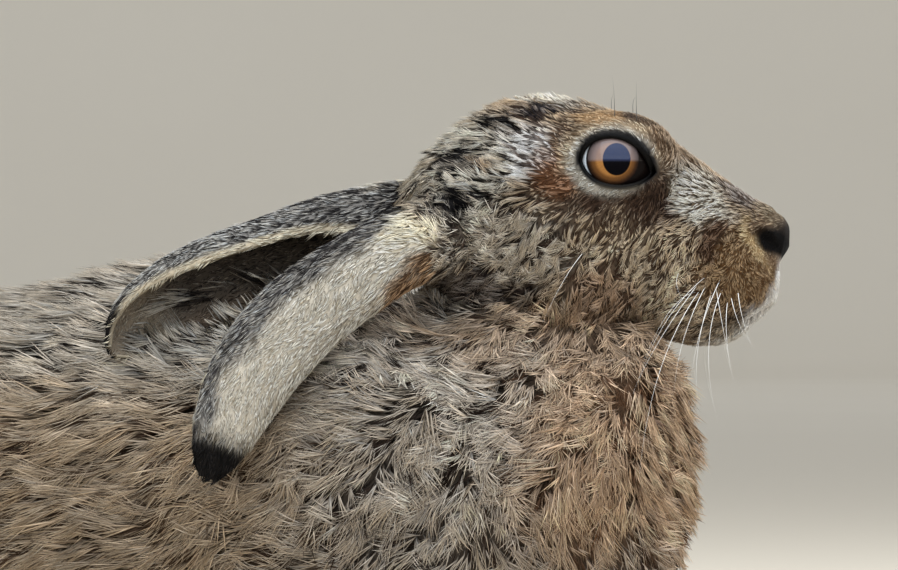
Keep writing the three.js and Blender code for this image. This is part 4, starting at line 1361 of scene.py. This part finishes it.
def lock_leaders(p, along, across, normal):
    """The tuft that each tuft follows. Locks are long and slim along the lie of the hair."""
    leaders = range(0, len(p), LOCK)
    tree = kdtree.KDTree(len(leaders))
    for i in leaders:
        tree.insert(p[i], i)
    tree.balance()
    choice = np.array([[i for _, i, _ in tree.find_n(place, 9)] for place in p])
    gap = p[choice] - p[:, None]
    apart = [(gap * way[:, None]).sum(2) for way in (along, across, normal)]
    return choice[np.arange(len(p)), ((apart[0] * LOCK_SLIM) ** 2 + apart[1] ** 2 + apart[2] ** 2).argmin(1)]


def turned_out(verts, faces):
    """The faces of one tuft, turned outward, as judged on the first few tufts."""
    first, second, third = (verts[:, faces[:, i]] for i in range(3))
    outward = (first + second + third) / 3 - verts.mean(1)[:, None]
    return faces[:, ::-1] if (np.cross(second - first, third - first) * outward).sum() < 0 else faces


def patch_map(p, part, normal, size):
    """For each tuft's corners, a small ring on the unwrapped hide at the place of its root."""
    along, around, strip = unwrap(p, part, normal)
    strips = np.unique(strip)
    row = np.searchsorted(strips, strip)
    along = (along - along.min()) / (np.ptp(along) + TINY)
    corner = np.arange(size) * math.tau / size
    u = 0.01 + 0.98 * along[:, None] + PATCH * np.cos(corner)
    v = (row[:, None] + 0.02 + 0.96 * around[:, None]) / len(strips) + PATCH * np.sin(corner)
    return np.stack([u, v], 2).reshape(-1, 2)


def tuft_mesh(name, verts, faces, tones, strand, uv):
    """One mesh of all the tufts, with the colour of each corner and its place on its tuft."""
    count, size, _ = verts.shape
    faces = (faces[None] + (np.arange(count) * size)[:, None, None]).reshape(-1, 3)
    mesh = bpy.data.meshes.new(name)
    mesh.vertices.add(count * size)
    mesh.vertices.foreach_set("co", to_frame(verts.reshape(-1, 3)).ravel())
    mesh.loops.add(faces.size)
    mesh.loops.foreach_set("vertex_index", faces.ravel().astype(np.int32))
    mesh.polygons.add(len(faces))
    mesh.polygons.foreach_set("loop_start", np.arange(0, faces.size, 3, dtype=np.int32))
    mesh.polygons.foreach_set("loop_total", np.full(len(faces), 3, np.int32))
    mesh.update()
    mesh.shade_smooth()
    store_colour(mesh, "marks", np.clip(tones.reshape(-1, 3), 0, 1))
    layer = mesh.attributes.new("strand", "FLOAT_VECTOR", "POINT")
    layer.data.foreach_set("vector", strand.reshape(-1, 3).astype(np.float32).ravel())
    mesh.uv_layers.new(name="OFBake").data.foreach_set("uv", uv[faces.ravel()].astype(np.float32).ravel())
    return mesh


def grow_coat(name, weight, count, forked, seed, clumping):
    """One piece of coat: count tufts on the hide. Each is a closed sliver, and a forked one ends in three tips."""
    draw = np.random.default_rng(seed)
    p, normal, part = roots_on(weight, count, seed)
    lie, length, width, height, loose = (np.zeros((count, 3)), *(np.zeros(count) for _ in range(4)))
    for index in np.unique(part):
        here = part == index
        lie[here], length[here], width[here], height[here], loose[here] = HAIR[index](p[here], normal[here])
    flat_lie = lie - normal * (lie * normal).sum(1)[:, None]
    flat_lie = unit(flat_lie + 0.02 * unit(lie))
    across = unit(np.cross(normal, flat_lie))
    leader = lock_leaders(p, flat_lie, across, normal)
    of_lock = lambda low, high: draw.uniform(low, high, count)[leader]
    swing = loose * (1.2 * wobble(p, 18, 11) + 1.1 * wobble(p, 5, 12) + 0.7 * draw.normal(size=count)[leader])
    swing += 0.45 * loose * draw.normal(size=count)
    lie = flat_lie * np.cos(swing)[:, None] + across * np.sin(swing)[:, None]
    across = unit(np.cross(normal, lie))
    outside = p + lie * (length * 0.6)[:, None] + normal * (height * 0.85)[:, None]
    (pale, dark), share = coat_marks(outside, part, normal)
    luck = 0.52 * of_lock(0, 1) + 0.48 * draw.uniform(0, 1, count)
    is_pale = luck < 0.13 + 0.74 * share

    length = length * of_lock(0.8, 1.15) * draw.uniform(0.75, 1.15, count)
    width = width * draw.uniform(0.7, 1.3, count)
    height = height * of_lock(0.75, 1.25) * draw.uniform(0.8, 1.1, count) * np.where(is_pale, 1.05, 0.85) + 0.1
    bow = (draw.normal(size=count)[leader] + 0.5 * draw.normal(size=count)) * 0.17 * length * (0.3 + loose)

    fall = np.clip(above_hide(p + lie * length[:, None]), -0.12 * length, 0.45 * length)

    def point(s):
        rise = height * (1 - (1 - s) ** 1.8) - fall * s * s
        along_lie, bowed = lie * (length * s)[:, None], across * (bow * s * s)[:, None]
        return p - normal * ROOT_DEPTH + along_lie + normal * rise[:, None] + bowed

    tip = point(np.ones(count))
    pull = (tip[leader] - tip) * clumping
    limit = (0.45 * length / (np.linalg.norm(pull, axis=1) + TINY))[:, None]
    pull *= np.minimum(1, limit)

    tips = 3 if forked else 1
    size = 4 + forked + tips
    at_ring = RING_AT[forked]
    verts = np.empty((count, size, 3))
    tones = np.empty((count, size, 3))
    strand = np.zeros((count, size, 3))
    strand[:, :, 2] = draw.uniform(0, 100, (count, 1))
    up = unit(np.cross(lie, across))
    up *= np.sign((up * normal).sum(1))[:, None]
    middle = point(np.full(count, at_ring)) + pull * at_ring**2
    half = (width / 2)[:, None]
    verts[:, 0] = point(np.zeros(count))
    verts[:, 1] = middle - across * half - up * half * 0.3
    verts[:, 2] = middle + across * half - up * half * 0.3
    verts[:, 3] = middle + up * half * 0.55
    strand[:, 1, 0], strand[:, 2, 0] = -1, 1
    strand[:, 1:4, 1] = at_ring
    worn = (of_lock(0.78, 1.2) * draw.uniform(0.88, 1.12, count))[:, None]
    warm = 1 + draw.normal(size=(count, 1)) * np.array([0.03, 0.0, -0.04])
    body = np.where(is_pale[:, None], pale, dark) * worn * warm
    # The root is darkened: partly the dark band at the base of each hair and partly painted shade deep in the coat.
    tones[:, 0] = dark * ROOT_BAND_AND_SHADE
    tones[:, 1:4] = (np.where(is_pale[:, None], dark * 0.6 + body * 0.28, body * 0.85))[:, None]
    if forked:
        verts[:, 4] = middle + lie * (length * 0.06)[:, None]
        tones[:, 4] = tones[:, 1]
        strand[:, 4, 1] = at_ring
    for k in range(tips):
        splay = SPLAY[k] * draw.uniform(0.25, 1.0, count) * (0.05 + 0.4 * loose) * length * forked
        short = draw.uniform(0.78, 1.05, count) if forked else 1.0
        end = middle + (tip + pull - middle) * np.reshape(short, (-1, 1)) + across * splay[:, None]
        own = np.where(draw.uniform(0, 1, count) < 0.88, is_pale, draw.uniform(0, 1, count) < share)[:, None]
        verts[:, size - tips + k] = end
        tones[:, size - tips + k] = np.where(own, pale, dark) * worn * warm * 1.08
        strand[:, size - tips + k, 0] = 0.5 * SPLAY[k]
        strand[:, size - tips + k, 1] = 1
    verts[:, :, 2] = np.maximum(verts[:, :, 2], FLOOR_GAP)

    faces = turned_out(verts[:200], tuft_faces(forked))
    mesh = tuft_mesh(name, verts, faces, tones, strand, patch_map(p, part, normal, size))
    coat = new_object(name, mesh, hair_material)
    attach(coat, "root")


hair = Shader("hair")
marks = hair.add("Attribute", {"attribute_name": "marks"})
strand_place = hair.add("Attribute", {"attribute_name": "strand"}, out=1)
spread_out = hair.add("VectorMath", {"operation": "MULTIPLY"}, [strand_place, (2.6, 1.2, 1.0)])
streak = hair.noise(1.0, 2.0, 0.6, spread_out)
streaks = hair.blend(streak.band(0.3, 0.7), (0.5, 0.48, 0.46, 1), (1.36, 1.35, 1.33, 1))
tone = hair.blend(1.0, marks, streaks, "MULTIPLY")
hair_material = hair.finish(Base_Color=tone, Roughness=0.65, Specular_IOR_Level=0.12)

CHEEK_FRONT = -38
CROWN_FRONT = -74
SHOULDER_FRONT = -150
BACK_FRONT = -235
CHEST_TOP = 62
SHOULDER_FOOT = 40
BACK_FOOT = 74

middle_x = hide_middles[:, 0]
body_x = turn_body(hide_middles, -1)[:, 0]
body_z = hide_middles[:, 2]
on_part = lambda *names: np.isin(hide_part, [PARTS.index(name) for name in names])
on_head, on_trunk = on_part("head"), on_part("trunk")
finest = np.interp(middle_x, [-75, -40, -10], [1, 1.3, 1.8])
by_eye = 1 + 0.8 * step_between(21, 17, from_eye(hide_middles))
cheek = (middle_x <= CHEEK_FRONT) * (middle_x > CROWN_FRONT)
fore, hind = on_trunk * (body_x > SHOULDER_FRONT), on_trunk * (body_x <= SHOULDER_FRONT)
high = body_z > np.where(body_x > BACK_FRONT, SHOULDER_FOOT, BACK_FOOT)
grow_coat("muzzle_coat", on_head * (middle_x > CHEEK_FRONT) * finest, 28000, False, 11, 0.4)
grow_coat("cheek_coat", on_head * cheek * by_eye, 16500, True, 12, 0.6)
grow_coat("crown_coat", on_head * (middle_x <= CROWN_FRONT), 16000, True, 13, 0.75)
grow_coat("neck_coat", fore * (body_z > CHEST_TOP), 16400, True, 14, 0.6)
grow_coat("chest_coat", fore * (body_z <= CHEST_TOP), 6000, True, 15, 0.6)
grow_coat("shoulder_coat", hind * high * (body_x > BACK_FRONT), 15000, True, 16, 0.55)
grow_coat("back_coat", hind * high * (body_x <= BACK_FRONT), 8500, True, 17, 0.55)
grow_coat("flank_coat", hind * ~high, 8500, True, 18, 0.55)
on_toes = np.maximum(step_between(-46, -26, body_x), step_between(-296, -276, body_x) * (body_x < -200))
grow_coat("leg_coat", on_part("foreleg", "hind_foot") * (1 + 1.2 * on_toes), 16000, False, 19, 0.35)
grow_coat("ear_coat", on_part("ear_right", "ear_left"), 27000, False, 20, 0.35)
grow_coat("tail_coat", on_part("tail"), 2400, True, 21, 0.35)

# The whiskers and brow bristles
# Single stiff hairs, white on the lips and the cheek, dark above the eyes. Each is rooted in the hide, bowed, and
# tapered to its tip.

WHISKERS = [
    # root, middle and tip as x and z in the side view, and how far the tip stands out sideways
    ((-25.5, 127.0), (-37.1, 114.2), (-46.1, 95.4), 33),
    ((-27.3, 125.2), (-39.7, 107.5), (-47.3, 92.2), 31),
    ((-26.7, 123.5), (-39.1, 99.4), (-45.2, 68.4), 42),
    ((-24.9, 125.0), (-31.9, 109.0), (-34.8, 93.1), 26),
    ((-23.2, 122.9), (-27.5, 106.1), (-27.5, 91.0), 12),
    ((-22.0, 124.1), (-20.3, 113.3), (-17.7, 99.7), 9),
    ((-20.3, 123.5), (-24.4, 106.1), (-22.0, 85.2), 15),
    ((-17.7, 121.8), (-15.9, 114.8), (-12.8, 108.4), 7),
    ((-18.6, 120.6), (-19.1, 109.6), (-17.1, 96.0), 10),
    ((-20.9, 126.4), (-26.7, 111.9), (-29.6, 97.4), 16),
    ((-15.7, 123.5), (-14.5, 115.4), (-11.6, 106.1), 8),
    ((-30.7, 131.6), (-33.6, 125.8), (-30.7, 119.2), 5),
    ((-27.8, 122.9), (-36.0, 117.1), (-44.1, 101.5), 26),
    ((-60.0, 135.1), (-66.3, 126.6), (-73.1, 113.3), 22),
]
BROW_BRISTLES = [
    ((-51.6, 173.5), (-51.7, 179.6), (-52.3, 185.8), 1),
    ((-45.2, 172.4), (-45.3, 179.2), (-45.2, 184.1), 1),
]
BRISTLE_STEPS = 12
WHISKER_THICK = 0.135
BROW_THICK = 0.14


def face_root(side, x, z):
    """The place on the hide of the face at x and z."""
    y = np.arange(40, 0, -0.1)
    depth = head_hide(np.stack([np.full(len(y), x), y, np.full(len(y), z)], 1))
    return np.array([x, side * y[(depth < 0).argmax()], z])


def grow_bristles(name, hairs, thick, moved, colours):
    """Bowed, tapering hairs. The tips of those of the left side are moved, so that the two sides aren't alike."""
    form = bmesh.new()
    for side in (-1, 1):
        for root, middle, end, out in hairs:
            first = face_root(side, *root)
            last = np.array([end[0], first[1] + side * out, end[1]]) + np.array(moved) * (side > 0)
            bend = 2 * np.array([middle[0], first[1] + side * out * 0.6, middle[1]]) - (first + last) / 2
            start = len(form.verts)
            ends = {"radius1": thick, "radius2": thick * 0.12, "depth": 1}
            made = set(bmesh.ops.create_cone(form, cap_ends=True, segments=5, **ends)["verts"])
            new_edges = [e for e in form.edges if e.verts[0] in made]
            long_edges = [e for e in new_edges if abs(e.verts[0].co.z - e.verts[1].co.z) > 0.5]
            bmesh.ops.subdivide_edges(form, edges=long_edges, cuts=BRISTLE_STEPS, use_grid_fill=True)
            form.verts.ensure_lookup_table()
            for vertex in form.verts[start:]:
                t = vertex.co.z + 0.5
                place = first * (1 - t) ** 2 + bend * 2 * t * (1 - t) + last * t * t
                vertex.co = to_frame(place + np.array([vertex.co.x, vertex.co.y, 0]) * (1 - 0.8 * t))
    bmesh.ops.recalc_face_normals(form, faces=form.faces)
    soften(form)
    bristle = Shader(name)
    tone = bristle.blend(bristle.noise(260, 2.0), *colours)
    made = new_object(name, new_mesh(name, form), bristle.finish(Base_Color=tone, Roughness=0.35))
    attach(made, "root")


grow_bristles("whiskers", WHISKERS, WHISKER_THICK, (2, 0, 0), [(236, 232, 226), (252, 250, 246)])
grow_bristles("brow_bristles", BROW_BRISTLES, BROW_THICK, (2, 3, -4.5), [(30, 26, 26), (70, 62, 58)])
